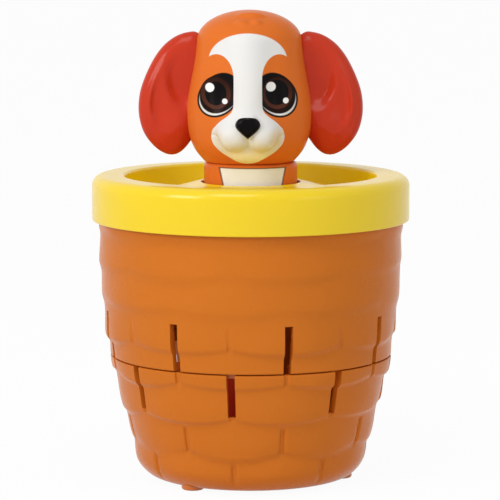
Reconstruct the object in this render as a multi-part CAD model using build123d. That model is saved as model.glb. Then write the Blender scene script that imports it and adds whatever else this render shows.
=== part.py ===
"""Pop-up dog game: a woven-look basket with stick slots, a turning launcher inside it, and a puppy on top.

Units are millimetres. +Z is up, the origin is on the floor under the middle of the basket, and the
puppy faces -Y. Angles round the basket are degrees from the front, towards +X.
"""
import math
import os

from build123d import *

# Basket shells
seam_height = 53.5
base_height = 18.2
seam_radius = 59.2
base_radius = 50.0
bottom_radius = 41.0
basket_wall = 2.8
floor_thickness = 2.4
seam_gap = 0.5
lip_drop = 2.2
lip_thickness = 1.4
lip_clearance = 0.25
lip_bond = 3.0

# Woven relief: bricks in staggered rows, swollen in the middle and tucked under the row above
bricks_per_row = 8
row_height = 14.8
brick_crown = 1.1
brick_lip = 0.5
brick_tuck = 0.1
brick_swell = 0.35
joint_depth = 0.8

# Stick slots, open to the seam
lower_slot_angle = -8.0
slot_width = 3.4
upper_slot_height = 20.0
lower_slot_height = 18.7

# Feet
foot_count = 3
foot_first_angle = -38.5
foot_circle = 39.0
foot_radius = 4.8
foot_height = 1.5
foot_round = 0.9

# Rim and deck
rim_radius = 67.5
rim_top = 130.0
rim_height = 19.0
rim_corner = 4.5
rim_band = 13.9
rim_inner_corner = 1.2
rim_wall = 2.2
skirt_clearance = 0.2
skirt_lap = 1.5
deck_edge_height = 119.0
deck_neck_height = 127.0
deck_thickness = 2.0
neck_depth = 3.0
neck_wall = 2.0
hood_thickness = 1.0
hood_play = 0.4
collar_inset = 1.2
hook_tabs = 6
hook_tab_angle = 12.0
hook_tab_height = 2.5
bead_depth = 1.0
bead_drop = 7.0
hook_play = 0.4

# Screw posts that join the two shells
post_count = 4
post_circle = 44.0
post_radius = 4.2
post_seat = 5.0
post_rise = 12.0
web_thickness = 2.4

# Screws
screw_radius = 1.4
screw_head_radius = 2.7
screw_head_height = 1.8
screw_bite = 8.0
thread_clearance = 0.02
hole_clearance = 0.3
head_clearance = 0.4

# Launcher: the turning tube, its base and its bearing on the basket floor
tube_wall = 2.0
spigot_radius = 5.0
spigot_height = 6.0
thrust_height = 1.0
thrust_inner = 8.0
thrust_outer = 10.5
running_clearance = 0.1
base_thickness = 2.6
hub_wall = 2.1
hub_rise = 4.0
neck_clearance = 0.4
flange_width = 4.0
flange_thickness = 2.0
end_play = 0.5
cup_floor = 2.0
gusset_height = 9.0
boss_radius = 3.2
boss_height = 12.0
boss_bond = 1.0

# Plunger
stem_radius = 12.0
stem_wall = 1.8
stem_clearance = 0.2
stem_lift = 0.6
stem_cap = 3.0
seat_gap = 0.1
platform_height = 86.0
platform_thickness = 3.0
platform_clearance = 0.4
plunger_stroke = 22.0
stop_pin_radius = 1.2
stop_pin_height = 60.0
stop_pin_reach = 1.3
pin_clearance = 0.3

# Trigger lever and latch
pivot_height = 36.0
pivot_reach = 19.0
trigger_thickness = 5.0
trigger_side_clearance = 0.4
trigger_boss_radius = 4.0
trigger_pin_radius = 1.25
ear_plate = 2.5
pad_radius = 37.5
pad_thickness = 3.0
pad_low = 39.5
pad_high = 74.0
arm_width = 4.0
arm_clearance = 0.4
ledge_height = 3.3
latch_play = 3.6
latch_grip = 0.6
latch_height = 3.2
latch_side_clearance = 1.0
latch_headroom = 1.4
latch_dip = 2.6

# Springs
launch_coil_radius = 8.9
launch_wire_radius = 0.7
launch_turns = 10
trigger_coil_radius = 2.7
trigger_wire_radius = 0.35
trigger_turns = 7
trigger_spring_height = 60.0
spring_peg_radius = 1.7
spring_peg_length = 3.5
spring_seat_radius = 3.6

# Puppy body
dog_radius = 19.8
dog_clearance = 0.6
dog_wall = 2.2
neck_rise = 8.5
dog_shoulder = 1.5
dog_crown = 2.6
dog_base_thickness = 2.5
plug_depth = 5.0
plug_wall = 2.0
plug_clearance = 0.1
key_width = 3.0
key_depth = 1.0
key_share = 0.62
key_clearance = 0.3
bib_depth = 0.5
bib_top_drop = 1.3
bib_height = 24.0
bib_top_half_width = 14.1
bib_bottom_half_width = 9.0
neck_screw_reach = 7.0
neck_boss_radius = 3.4
peg_reach = 9.0
peg_radius = 2.0
peg_height = 1.6
peg_clearance = 0.15

# Puppy head: height above the neck, half width, reach to the front and reach to the back
head_wall = 2.2
head_sections = (
    (0.0, 18.8, 18.4, 18.4),
    (4.6, 22.6, 22.8, 21.2),
    (13.0, 25.9, 24.8, 24.3),
    (22.0, 26.6, 25.0, 25.6),
    (33.0, 25.2, 24.2, 25.6),
    (43.0, 23.6, 23.0, 24.8),
)
dome_rise = 51.2
dome_height = 13.2
dome_half_width = 22.5
dome_front = 21.6
dome_back = 23.4
dome_shares = (0.0, 0.4, 0.7, 0.9, 0.985)

# Face, measured from the neck: the bridge, the two whisker pads, the jaw and the nose
bridge_rise = 27.0
bridge_reach = 17.6
bridge_size = (7.4, 8.6, 17.0)
whisker_rise = 13.4
whisker_reach = 23.6
whisker_spread = 6.6
whisker_size = (8.4, 7.6, 7.2)
jaw_rise = 7.4
jaw_reach = 19.5
jaw_size = (11.5, 8.6, 6.6)
nose_rise = 17.6
nose_reach = 29.8
nose_size = (5.4, 3.4, 4.4)

# Ears, outlined as corner points and mid points of arcs: sideways reach and height above the neck
ear_outline = (
    (19.0, 50.5),
    (28.5, 55.1),
    (38.2, 48.0),
    (44.7, 36.4),
    (48.0, 22.5),
    (43.4, 9.0),
    (34.6, 3.1),
    (28.2, 5.4),
    (23.5, 14.0),
    (19.5, 32.0),
)
ear_centre = (34.0, 29.0)
ear_depth = 5.4
ear_setback = 1.5
ear_layers = (
    (-1.0, 0.62),
    (-0.8, 0.84),
    (-0.4, 0.97),
    (0.0, 1.0),
    (0.4, 0.97),
    (0.8, 0.84),
    (1.0, 0.62),
)
dish_place = (33.5, 39.0)
dish_size = (6.6, 3.4, 10.5)
tab_rise = 30.0
tab_height = 16.0
tab_thickness = 3.6
tab_inner = 19.0
tab_outer = 29.0
tab_clearance = 0.12

# Sizes that follow from the ones above
rim_bottom = rim_top - rim_height
rim_inner_radius = rim_radius - rim_band
skirt_radius = rim_radius - rim_wall
basket_top_radius = skirt_radius - skirt_clearance - brick_crown
collar_radius = basket_top_radius - collar_inset
collar_top = rim_top - rim_wall
upper_slot_angle = lower_slot_angle + 180 / bricks_per_row
floor_top = foot_height + floor_thickness
post_first_angle = (lower_slot_angle + upper_slot_angle) / 2
cup_bore = dog_radius + dog_clearance
cup_radius = cup_bore + tube_wall
neck_radius = cup_radius + neck_clearance
hood_radius = dog_radius + key_depth + key_clearance
cup_top = deck_neck_height - hood_thickness - hood_play
barrel_bore = stem_radius + stem_clearance
barrel_radius = barrel_bore + tube_wall
base_low = floor_top + thrust_height + running_clearance
base_top = base_low + base_thickness
boss_reach = barrel_radius + boss_radius - boss_bond
stem_low = base_top + stem_lift
stem_top = platform_height + seat_gap
platform_top = stem_top + platform_thickness
window_low = stem_low + ledge_height
latch_low = window_low + latch_play
latch_top = latch_low + latch_height
dog_low = platform_top + seat_gap
body_low = dog_low + dog_base_thickness
body_bore = dog_radius - dog_wall
dog_top = deck_neck_height + neck_rise
key_length = key_share * (deck_neck_height - body_low)
pilot_radius = screw_radius + thread_clearance
screw_hole_radius = screw_radius + hole_clearance
screw_well_radius = screw_head_radius + head_clearance
front_half = 4 * rim_radius


def disc(radius, low, high):
    """Upright cylinder between two heights."""
    return Pos(0, 0, (low + high) / 2) * Cylinder(radius, high - low)


def ring(inner, outer, low, high):
    """Upright tube between two heights."""
    return disc(outer, low, high) - disc(inner, low, high)


def block(x_range, y_range, z_range):
    """Box between two corners."""
    spans = (x_range, y_range, z_range)
    middle = [(low + high) / 2 for low, high in spans]
    return Pos(*middle) * Box(*[high - low for low, high in spans])


def round_basket(shape, first_angle, count):
    """Copies of a shape made at the front, spread evenly round the basket."""
    return [Rot(0, 0, first_angle + 360 * step / count) * shape for step in range(count)]


def ellipsoid(size, place):
    """Ellipsoid from its three half sizes."""
    return Pos(*place) * scale(Sphere(1), by=size)


def screw(low, length):
    """Pan-head screw pointing up, with the underside of its head at the given height."""
    head = disc(screw_head_radius, low - screw_head_height, low)
    head = fillet(head.edges().sort_by(Axis.Z)[0], screw_head_height / 2)
    shank = disc(screw_radius, low, low + length)
    return head + chamfer(shank.edges().sort_by(Axis.Z)[-1], screw_radius / 2)


def side_radius(height):
    """Radius of the basket's side, before the relief."""
    if height < base_height:
        fall = (base_height - height) / (base_height - foot_height)
        return bottom_radius + (base_radius - bottom_radius) * math.sqrt(1 - fall ** 2)
    lower_slope = (seam_radius - base_radius) / (seam_height - base_height)
    upper_slope = (basket_top_radius - seam_radius) / (rim_bottom - seam_height)
    bend = (upper_slope - lower_slope) / (rim_bottom - base_height)
    return base_radius + (height - base_height) * (lower_slope + bend * (height - seam_height))


def brick_swelling(share):
    """How far a brick's middle stands out, at a share of the row's height."""
    if share < brick_swell:
        return brick_crown - (brick_crown - brick_lip) * (1 - share / brick_swell) ** 2
    return brick_crown - (brick_crown + brick_tuck) * ((share - brick_swell) / (1 - brick_swell)) ** 2


def weave_section(height, row, crown, joint):
    """Level outline of one row: an arc for each brick, from joint to joint."""
    first_angle = lower_slot_angle if row % 2 == 0 else upper_slot_angle
    half_step = 180 / bricks_per_row
    points = []
    for step in range(2 * bricks_per_row):
        angle = math.radians(first_angle + step * half_step)
        radius = side_radius(height) + (joint if step % 2 == 0 else crown)
        points.append((radius * math.sin(angle), -radius * math.cos(angle), height))
    points.append(points[0])
    arcs = [ThreePointArc(*points[step:step + 3]) for step in range(0, 2 * bricks_per_row, 2)]
    return Face(Wire(arcs))


def bottom_row():
    """Lowest row of bricks, rounding in to the flat bottom."""
    sections = []
    for turn in (0, 22, 45, 68, 90):
        height = base_height - (base_height - foot_height) * math.cos(math.radians(turn))
        share = math.sin(math.radians(turn))
        sections.append(weave_section(height, 0, brick_lip * share, -joint_depth * share))
    return loft(sections)


def upper_rows():
    """All the rows of bricks above the lowest one."""
    rows = []
    low = base_height
    while low < rim_bottom:
        high = min(low + row_height, rim_bottom + skirt_lap)
        sections = []
        for step in range(5):
            height = low + (high - low) * step / 4
            crown = brick_swelling((height - low) / row_height)
            sections.append(weave_section(height, len(rows) + 1, crown, -joint_depth))
        rows.append(loft(sections))
        low = high if high > rim_bottom else low + row_height
    return rows


def basket_cavity():
    """The space inside both shells."""
    heights = [floor_top, (floor_top + base_height) / 2, base_height]
    heights += [(base_height + seam_height) / 2, seam_height, (seam_height + rim_bottom) / 2, rim_bottom]
    side = [(side_radius(height) - basket_wall, height) for height in heights]
    above = collar_top + 1
    outline = Spline(*side) + Polyline(side[-1], (side[-1][0], above), (0, above), (0, floor_top), side[0])
    return revolve(Plane.XZ * make_face(outline), Axis.Z)


def slots(first_angle, low, high):
    """Cutters for one row of stick slots."""
    half_width = slot_width / 2
    cutter = block((-half_width, half_width), (-rim_radius, -post_circle - post_radius), (low, high))
    return round_basket(cutter, first_angle, bricks_per_row)


def shell_walls():
    """The woven wall of the lower and the upper shell, parted at the seam."""
    wall = bottom_row()
    for row in upper_rows():
        wall += row
    wall += disc(collar_radius, rim_bottom, collar_top)
    wall -= basket_cavity()
    reach = 2 * rim_radius
    low_half = block((-reach, reach), (-reach, reach), (0, seam_height - seam_gap))
    high_half = block((-reach, reach), (-reach, reach), (seam_height, rim_top))
    return wall & low_half, wall & high_half


def lower_basket(wall):
    """Lower shell: slots, feet, launcher bearing and screw wells."""
    shell = wall
    shell += disc(spigot_radius, floor_top, floor_top + spigot_height)
    shell += ring(thrust_inner, thrust_outer, floor_top, floor_top + thrust_height)
    foot = disc(foot_radius, 0, foot_height + floor_thickness / 2)
    foot = Pos(0, -foot_circle, 0) * fillet(foot.edges().sort_by(Axis.Z)[0], foot_round)
    for part in round_basket(foot, foot_first_angle, foot_count):
        shell += part
    post = Pos(0, -post_circle, 0) * disc(post_radius, floor_top, seam_height)
    for part in round_basket(post, post_first_angle, post_count):
        shell += part
    well = disc(screw_well_radius, 0, seam_height - post_seat) + disc(screw_hole_radius, 0, seam_height)
    cutters = round_basket(Pos(0, -post_circle, 0) * well, post_first_angle, post_count)
    cutters += slots(lower_slot_angle, seam_height - lower_slot_height, seam_height)
    for cutter in cutters:
        shell -= cutter
    return shell


def upper_basket(wall):
    """Upper shell: slots, the lip inside the seam, screw posts and the bead that the rim hooks under."""
    shell = wall
    lip_radius = side_radius(seam_height - lip_drop) - basket_wall - lip_clearance
    inner_radius = side_radius(seam_height) - basket_wall
    lip_inner = lip_radius - lip_thickness
    shell += ring(lip_inner, lip_radius, seam_height - lip_drop, seam_height + lip_bond)
    shell += ring(lip_inner, inner_radius + lip_thickness / 2, seam_height, seam_height + lip_bond)
    bead_top = collar_top - bead_drop
    shell += ring(collar_radius - bead_depth, collar_radius + bead_depth, bead_top - bead_depth, bead_top)
    post = Pos(0, -post_circle, 0) * disc(post_radius, seam_height, seam_height + post_rise)
    half_web = web_thickness / 2
    post += block(
        (-half_web, half_web),
        (-inner_radius - lip_thickness, -post_circle),
        (seam_height + lip_bond, seam_height + post_rise),
    )
    for part in round_basket(post, post_first_angle, post_count):
        shell += part
    pilot = Pos(0, -post_circle, 0) * disc(pilot_radius, seam_height, seam_height + screw_bite + 1)
    cutters = round_basket(pilot, post_first_angle, post_count)
    cutters += slots(upper_slot_angle, seam_height - lip_drop, seam_height + upper_slot_height)
    for cutter in cutters:
        shell -= cutter
    return shell


def deck_height(radius):
    """Height of the deck's top face at a distance from the middle."""
    slope = (deck_neck_height - deck_edge_height) / (rim_inner_radius - neck_radius)
    return deck_neck_height - slope * (radius - neck_radius)


def rim_deck():
    """Rolled rim, its skirt over the basket, and the deck that rises to a hood over the launcher's cup."""
    inner_wall = rim_inner_radius + rim_wall
    neck_outside = neck_radius + neck_wall
    corner = rim_corner * (1 - math.sqrt(0.5))
    inner_corner = rim_inner_corner * (1 - math.sqrt(0.5))
    outline = Polyline(
        (hood_radius, deck_neck_height),
        (neck_radius, deck_neck_height),
        (rim_inner_radius, deck_edge_height),
        (rim_inner_radius, rim_top - rim_inner_corner),
    )
    outline += ThreePointArc(
        (rim_inner_radius, rim_top - rim_inner_corner),
        (rim_inner_radius + inner_corner, rim_top - inner_corner),
        (rim_inner_radius + rim_inner_corner, rim_top),
    )
    outline += Line((rim_inner_radius + rim_inner_corner, rim_top), (rim_radius - rim_corner, rim_top))
    outline += ThreePointArc(
        (rim_radius - rim_corner, rim_top),
        (rim_radius - corner, rim_top - corner),
        (rim_radius, rim_top - rim_corner),
    )
    outline += Polyline(
        (rim_radius, rim_top - rim_corner),
        (rim_radius, rim_bottom),
        (skirt_radius, rim_bottom),
        (skirt_radius, collar_top),
        (inner_wall, collar_top),
        (inner_wall, deck_height(inner_wall) - deck_thickness),
        (neck_outside, deck_height(neck_outside) - deck_thickness),
        (neck_outside, deck_neck_height - neck_depth),
        (neck_radius, deck_neck_height - neck_depth),
        (neck_radius, deck_neck_height - hood_thickness),
        (hood_radius, deck_neck_height - hood_thickness),
        (hood_radius, deck_neck_height),
    )
    body = revolve(Plane.XZ * make_face(outline), Axis.Z)
    tab_top = collar_top - bead_drop - bead_depth - hook_play
    half_width = skirt_radius * math.sin(math.radians(hook_tab_angle / 2))
    tab = ring(collar_radius + hook_play, skirt_radius + rim_wall / 2, tab_top - hook_tab_height, tab_top)
    tab &= block((-half_width, half_width), (-rim_radius, 0), (rim_bottom, rim_top))
    for part in round_basket(tab, post_first_angle, hook_tabs):
        body += part
    return body


def basket_screws():
    """Screws that hold the two shells together, driven up the wells from below."""
    fastener = Pos(0, -post_circle, 0) * screw(seam_height - post_seat, post_seat + screw_bite)
    return round_basket(fastener, post_first_angle, post_count)


def turned(shape):
    """Launcher pieces are made with the trigger towards +Y, then turned in line with a lower slot."""
    return Rot(0, 0, lower_slot_angle) * shape


def launch_tube():
    """Cup that the puppy stands in, on a narrower barrel for the plunger, with the trigger's ears."""
    cup_low = platform_height - cup_floor
    tube = ring(cup_bore, cup_radius, cup_low, cup_top)
    tube += ring(barrel_bore, cup_radius, cup_low, platform_height)
    tube += ring(barrel_bore, barrel_radius, base_top, platform_height)
    gusset = Pos(0, 0, cup_low - gusset_height / 2) * Cone(barrel_radius, cup_radius, gusset_height)
    tube += gusset - disc(barrel_bore, cup_low - gusset_height, cup_low)
    flange_radius = cup_radius + flange_width
    flange_top = min(deck_height(flange_radius) - deck_thickness, deck_neck_height - neck_depth) - end_play
    tube += ring(cup_bore, flange_radius, flange_top - flange_thickness, flange_top)
    for side in (-1, 1):
        boss = disc(boss_radius, base_top, base_top + boss_height)
        boss -= disc(pilot_radius, base_top, base_top + screw_bite)
        tube += Pos(side * boss_reach, 0, 0) * boss - disc(barrel_bore, base_top, base_top + boss_height)
    ear_inner = trigger_thickness / 2 + trigger_side_clearance
    ear_profile = Pos(pivot_reach, pivot_height) * Circle(trigger_boss_radius)
    ear_profile += Pos(pivot_reach / 2, pivot_height) * Rectangle(pivot_reach, 2 * trigger_boss_radius)
    ear_profile -= Pos(pivot_reach, pivot_height) * Circle(trigger_pin_radius + thread_clearance)
    ear = extrude(Plane.YZ * ear_profile, amount=ear_plate) - disc(barrel_bore, 0, rim_top)
    for side in (ear_inner, -ear_inner - ear_plate):
        tube += Pos(side, 0, 0) * ear
    peg = disc(spring_seat_radius, 0, barrel_radius)
    peg += disc(spring_peg_radius, 0, barrel_radius + spring_peg_length)
    peg = Pos(0, 0, trigger_spring_height) * Rot(-90, 0, 0) * peg
    tube += peg - disc(barrel_bore, 0, rim_top)
    half_window = trigger_thickness / 2 + latch_side_clearance
    tube -= block(
        (-half_window, half_window),
        (0, 2 * barrel_radius),
        (latch_low - latch_dip, latch_top + latch_headroom),
    )
    tube -= stop_pin_cutter()
    tube = turned(tube)
    half_key = key_width / 2 + key_clearance
    key_reach = dog_radius + key_depth + key_clearance
    tube -= block((-key_reach, key_reach), (-half_key, half_key), (platform_height, rim_top))
    return tube


def stop_pin_cutter():
    """Hole for the pin that stops the plunger's rise and keeps it from turning."""
    hole = disc(stop_pin_radius + thread_clearance, 0, 2 * barrel_radius)
    return Pos(0, 0, stop_pin_height) * Rot(90, 0, 0) * hole


def stop_pin():
    """Pin pressed through the barrel's wall into the plunger's slot."""
    inner = stem_radius - stop_pin_reach
    length = barrel_radius + stop_pin_reach - inner
    pin = disc(stop_pin_radius, 0, length)
    return turned(Pos(0, -inner, stop_pin_height) * Rot(90, 0, 0) * pin)


def tube_base():
    """Plate under the barrel: the spring's seat and the hub that turns on the basket's spigot."""
    plate = disc(boss_reach + boss_radius, base_low, base_top)
    plate += disc(spigot_radius + running_clearance + hub_wall, base_low, base_top + hub_rise)
    plate -= disc(spigot_radius + running_clearance, base_low, base_top + hub_rise)
    for side in (-1, 1):
        hole = disc(screw_hole_radius, base_low, base_top)
        hole += disc(screw_well_radius, base_low, base_low + screw_head_height)
        plate -= Pos(side * boss_reach, 0, 0) * hole
    return turned(plate)


def base_screws():
    """Screws that hold the base plate to the barrel."""
    fastener = screw(base_low + screw_head_height, base_thickness - screw_head_height + screw_bite - 1)
    return [turned(Pos(side * boss_reach, 0, 0) * fastener) for side in (-1, 1)]


def trigger_pin():
    """Pivot pin of the trigger lever."""
    length = trigger_thickness + 2 * (trigger_side_clearance + ear_plate)
    return turned(Pos(0, pivot_reach, pivot_height) * Rot(0, 90, 0) * Cylinder(trigger_pin_radius, length))


def trigger_lever():
    """Lever that a stick pushes: a tall pad above the pivot and the latch hook below it."""
    pad_inner = pad_radius - pad_thickness
    arm_inner = barrel_radius + arm_clearance
    arm_outer = arm_inner + arm_width
    profile = Pos(pivot_reach, pivot_height) * Circle(trigger_boss_radius)
    pad = Rectangle(pad_thickness, pad_high - pad_low)
    pad = fillet(pad.vertices(), pad_thickness / 3)
    profile += Pos(pad_radius - pad_thickness / 2, (pad_low + pad_high) / 2) * pad
    profile += make_face(Polyline(
        (pivot_reach - trigger_boss_radius, pivot_height),
        (pad_inner + pad_thickness / 3, pad_low + 4 * arm_width),
        (pad_inner + pad_thickness / 3, pad_low + arm_width / 2),
        (pivot_reach, pivot_height - trigger_boss_radius),
        (pivot_reach - trigger_boss_radius, pivot_height),
    ))
    hook_tip = stem_radius - latch_grip
    profile += make_face(Polyline(
        (arm_inner, pivot_height),
        (arm_outer, pivot_height),
        (arm_outer, latch_low),
        (hook_tip, latch_low),
        (hook_tip, latch_low + latch_height / 3),
        (hook_tip + latch_height / 2, latch_top),
        (arm_inner, latch_top),
        (arm_inner, pivot_height),
    ))
    profile -= Pos(pivot_reach, pivot_height) * Circle(trigger_pin_radius + running_clearance)
    lever = extrude(Plane.YZ * profile, amount=trigger_thickness / 2, both=True)
    peg = Cylinder(spring_peg_radius, spring_peg_length + pad_thickness / 2)
    peg_middle = pad_inner + (pad_thickness / 2 - spring_peg_length) / 2
    lever += Pos(0, peg_middle, trigger_spring_height) * Rot(90, 0, 0) * peg
    return turned(lever)


def helix_point(radius, angle, rise):
    """Point on a helix about the Z axis, and the direction there."""
    place = Vector(radius * math.cos(angle), radius * math.sin(angle), rise * angle)
    heading = Vector(-radius * math.sin(angle), radius * math.cos(angle), rise)
    return place, heading.normalized()


def middle_radius(radius, start, end, rise):
    """Radius of the joint of a helical biarc, found by halving, where both arcs share a direction."""
    place, heading = helix_point(radius, start, rise)
    middle = (start + end) / 2
    outward = Vector(math.cos(middle), math.sin(middle), 0)
    low = 0.7 * radius
    high = 1.3 * radius
    for _ in range(40):
        trial = (low + high) / 2
        chord = (Vector(0, 0, rise * middle) + outward * trial - place).normalized()
        arrival = chord * (2 * heading.dot(chord)) - heading
        if arrival.dot(outward) > 0:
            high = trial
        else:
            low = trial
    return (low + high) / 2


def coil(radius, wire_radius, length, turns):
    """Compression spring on the Z axis: one wire, swept along two arcs to each half turn."""
    rise = (length - 2 * wire_radius) / (2 * math.pi * turns)
    arcs = []
    for step in range(2 * turns):
        start = step * math.pi
        end = start + math.pi
        first, heading = helix_point(radius, start, rise)
        last = helix_point(radius, end, rise)[0]
        joint_radius = middle_radius(radius, start, end, rise)
        joint_angle = (start + end) / 2
        joint = Vector(
            joint_radius * math.cos(joint_angle),
            joint_radius * math.sin(joint_angle),
            rise * joint_angle,
        )
        arcs.append(TangentArc(first, joint, tangent=heading))
        arcs.append(TangentArc(joint, last, tangent=arcs[-1] % 1))
    path = Wire(arcs)
    section = Plane(origin=path @ 0, z_dir=path % 0) * Circle(wire_radius)
    return Pos(0, 0, wire_radius) * sweep(section, path=path)


def least_gap(radius, wire_radius, length, turns):
    """Least gap between neighbouring turns of a coil, measured on points of two turns."""
    rise = (length - 2 * wire_radius) / (2 * math.pi * turns)
    here = helix_point(radius, 0, rise)[0]
    angles = [math.radians(270 + step) for step in range(180)]
    return min((helix_point(radius, angle, rise)[0] - here).length for angle in angles) - 2 * wire_radius


def launch_spring():
    """Main spring, squeezed between the base plate and the top of the plunger's stem."""
    length = stem_top - stem_cap - base_top
    print("launch spring gap", least_gap(launch_coil_radius, launch_wire_radius, length, launch_turns))
    return turned(Pos(0, 0, base_top) * coil(launch_coil_radius, launch_wire_radius, length, launch_turns))


def trigger_spring():
    """Small spring that holds the trigger's pad out and its hook in."""
    length = pad_radius - pad_thickness - barrel_radius
    print("trigger spring gap", least_gap(trigger_coil_radius, trigger_wire_radius, length, trigger_turns))
    wire = coil(trigger_coil_radius, trigger_wire_radius, length, trigger_turns)
    return turned(Pos(0, barrel_radius, trigger_spring_height) * Rot(-90, 0, 0) * wire)


def plunger_stem():
    """Hollow stem: closed at the top, with the latch window and the stop slot in its wall."""
    stem = ring(stem_radius - stem_wall, stem_radius, stem_low, stem_top)
    stem += disc(stem_radius, stem_top - stem_cap, stem_top)
    stem += disc(boss_radius, stem_top - stem_cap - screw_bite, stem_top)
    stem -= disc(pilot_radius, stem_top - stem_cap - screw_bite, stem_top)
    half_window = trigger_thickness / 2 + latch_side_clearance
    window_top = latch_top + latch_headroom
    stem -= block((-half_window, half_window), (0, 2 * stem_radius), (window_low, window_top))
    half_slot = stop_pin_radius + pin_clearance
    stem -= block(
        (-half_slot, half_slot),
        (-2 * stem_radius, -stem_radius / 2),
        (stop_pin_height - plunger_stroke - half_slot, stop_pin_height + half_slot),
    )
    return turned(stem)


def plunger_platform():
    """Round platform that throws the puppy up."""
    plate = disc(cup_bore - platform_clearance, stem_top, platform_top)
    plate = chamfer(plate.edges().group_by(Axis.Z)[-1], platform_thickness / 4)
    plate -= disc(screw_hole_radius, stem_top, platform_top)
    plate -= disc(screw_well_radius, platform_top - screw_head_height, platform_top)
    return plate


def platform_screw():
    """Screw through the platform into the stem."""
    length = platform_thickness - screw_head_height + stem_cap + screw_bite - 1
    return Pos(0, 0, platform_top - screw_head_height) * Rot(180, 0, 0) * screw(0, length)


def dog_body():
    """Round body with a shoulder, two keys that turn the launcher, and the bib's shallow panel."""
    body = disc(dog_radius, body_low, dog_top)
    body = fillet(body.edges().sort_by(Axis.Z)[-1], dog_shoulder)
    body -= disc(body_bore, body_low, dog_top - dog_crown)
    for side in (-1, 1):
        middle = side * (dog_radius + key_depth - dog_wall / 2)
        key = Pos(middle, 0, body_low + key_length / 2) * Box(dog_wall, key_width, key_length)
        body += key - disc(body_bore, body_low, dog_top)
    bib_top = dog_top - bib_top_drop
    bib_low = bib_top - bib_height
    bib = make_face(Polyline(
        (-bib_top_half_width, bib_top),
        (bib_top_half_width, bib_top),
        (bib_bottom_half_width, bib_low),
        (-bib_bottom_half_width, bib_low),
        (-bib_top_half_width, bib_top),
    ))
    bib = extrude(Plane.XZ * bib, amount=2 * dog_radius)
    body -= bib - disc(dog_radius - bib_depth, body_low, dog_top)
    body -= Pos(0, neck_screw_reach, 0) * disc(screw_hole_radius, body_low, dog_top)
    body += Pos(0, -peg_reach, 0) * disc(peg_radius, dog_top - dog_crown, dog_top + peg_height)
    return body


def dog_base():
    """Plug that closes the body from below."""
    plug = disc(dog_radius, dog_low, body_low)
    plug = fillet(plug.edges().sort_by(Axis.Z)[0], dog_base_thickness / 3)
    outer = body_bore - plug_clearance
    return plug + ring(outer - plug_wall, outer, body_low, body_low + plug_depth)


def head_form(inset):
    """The head as one smooth solid, drawn in all over by a given amount."""
    sections = []
    for rise, half_width, front, back in head_sections:
        sections.append((max(rise, inset), half_width - inset, front - inset, back - inset))
    for share in dome_shares:
        width_share = math.sqrt(1 - share ** 2)
        sections.append((
            dome_rise + (dome_height - inset) * share,
            (dome_half_width - inset) * width_share,
            (dome_front - inset) * width_share,
            (dome_back - inset) * width_share,
        ))
    faces = []
    for rise, half_width, front, back in sections:
        outline = Ellipse(half_width, (front + back) / 2)
        faces.append(Pos(0, (back - front) / 2, dog_top + rise) * outline)
    return loft(faces)


def head_outside():
    """The head with its face: bridge, whisker pads, jaw and nose."""
    head = head_form(0)
    head += ellipsoid(bridge_size, (0, -bridge_reach, dog_top + bridge_rise))
    head += ellipsoid(jaw_size, (0, -jaw_reach, dog_top + jaw_rise))
    for side in (-1, 1):
        head += ellipsoid(whisker_size, (side * whisker_spread, -whisker_reach, dog_top + whisker_rise))
    head += ellipsoid(nose_size, (0, -nose_reach, dog_top + nose_rise))
    return head


def head_shells(outside):
    """Front and back half of the hollow head, with slots for the ears' tabs and the neck's fixings."""
    hollow = outside - head_form(head_wall)
    half_slot = tab_thickness / 2 + tab_clearance
    half_height = tab_height / 2 + tab_clearance
    tab_middle = dog_top + tab_rise
    hollow -= block(
        (-tab_outer, tab_outer),
        (ear_setback - half_slot, ear_setback + half_slot),
        (tab_middle - half_height, tab_middle + half_height),
    )
    front = hollow & block((-front_half, front_half), (-front_half, 0), (dog_top, front_half))
    back = hollow & block((-front_half, front_half), (0, front_half), (dog_top, front_half))
    boss = disc(neck_boss_radius, dog_top, dog_top + screw_bite + head_wall)
    back += Pos(0, neck_screw_reach, 0) * boss
    back -= Pos(0, neck_screw_reach, 0) * disc(pilot_radius, dog_top, dog_top + screw_bite)
    front -= Pos(0, -peg_reach, 0) * disc(peg_radius + peg_clearance, dog_top, dog_top + head_wall)
    return front, back


def ear(outside):
    """Right ear: a pillowed kidney shape with a scooped front, seated on the head, and its tab."""
    layers = []
    for depth_share, size in ear_layers:
        points = []
        for reach, rise in ear_outline:
            across = ear_centre[0] + (reach - ear_centre[0]) * size
            up = ear_centre[1] + (rise - ear_centre[1]) * size
            points.append((across, ear_setback + depth_share * ear_depth, dog_top + up))
        points.append(points[0])
        arcs = [ThreePointArc(*points[step:step + 3]) for step in range(0, len(ear_outline), 2)]
        layers.append(Face(Wire(arcs)))
    lobe = loft(layers)
    lobe -= ellipsoid(dish_size, (dish_place[0], ear_setback - ear_depth, dog_top + dish_place[1]))
    tab = block(
        (tab_inner, tab_outer),
        (ear_setback - tab_thickness / 2, ear_setback + tab_thickness / 2),
        (dog_top + tab_rise - tab_height / 2, dog_top + tab_rise + tab_height / 2),
    )
    return (lobe - outside) + tab


def neck_screw():
    """Screw from inside the body up into the head."""
    return Pos(0, neck_screw_reach, 0) * screw(dog_top - dog_crown, dog_crown + screw_bite - 1)


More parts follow.
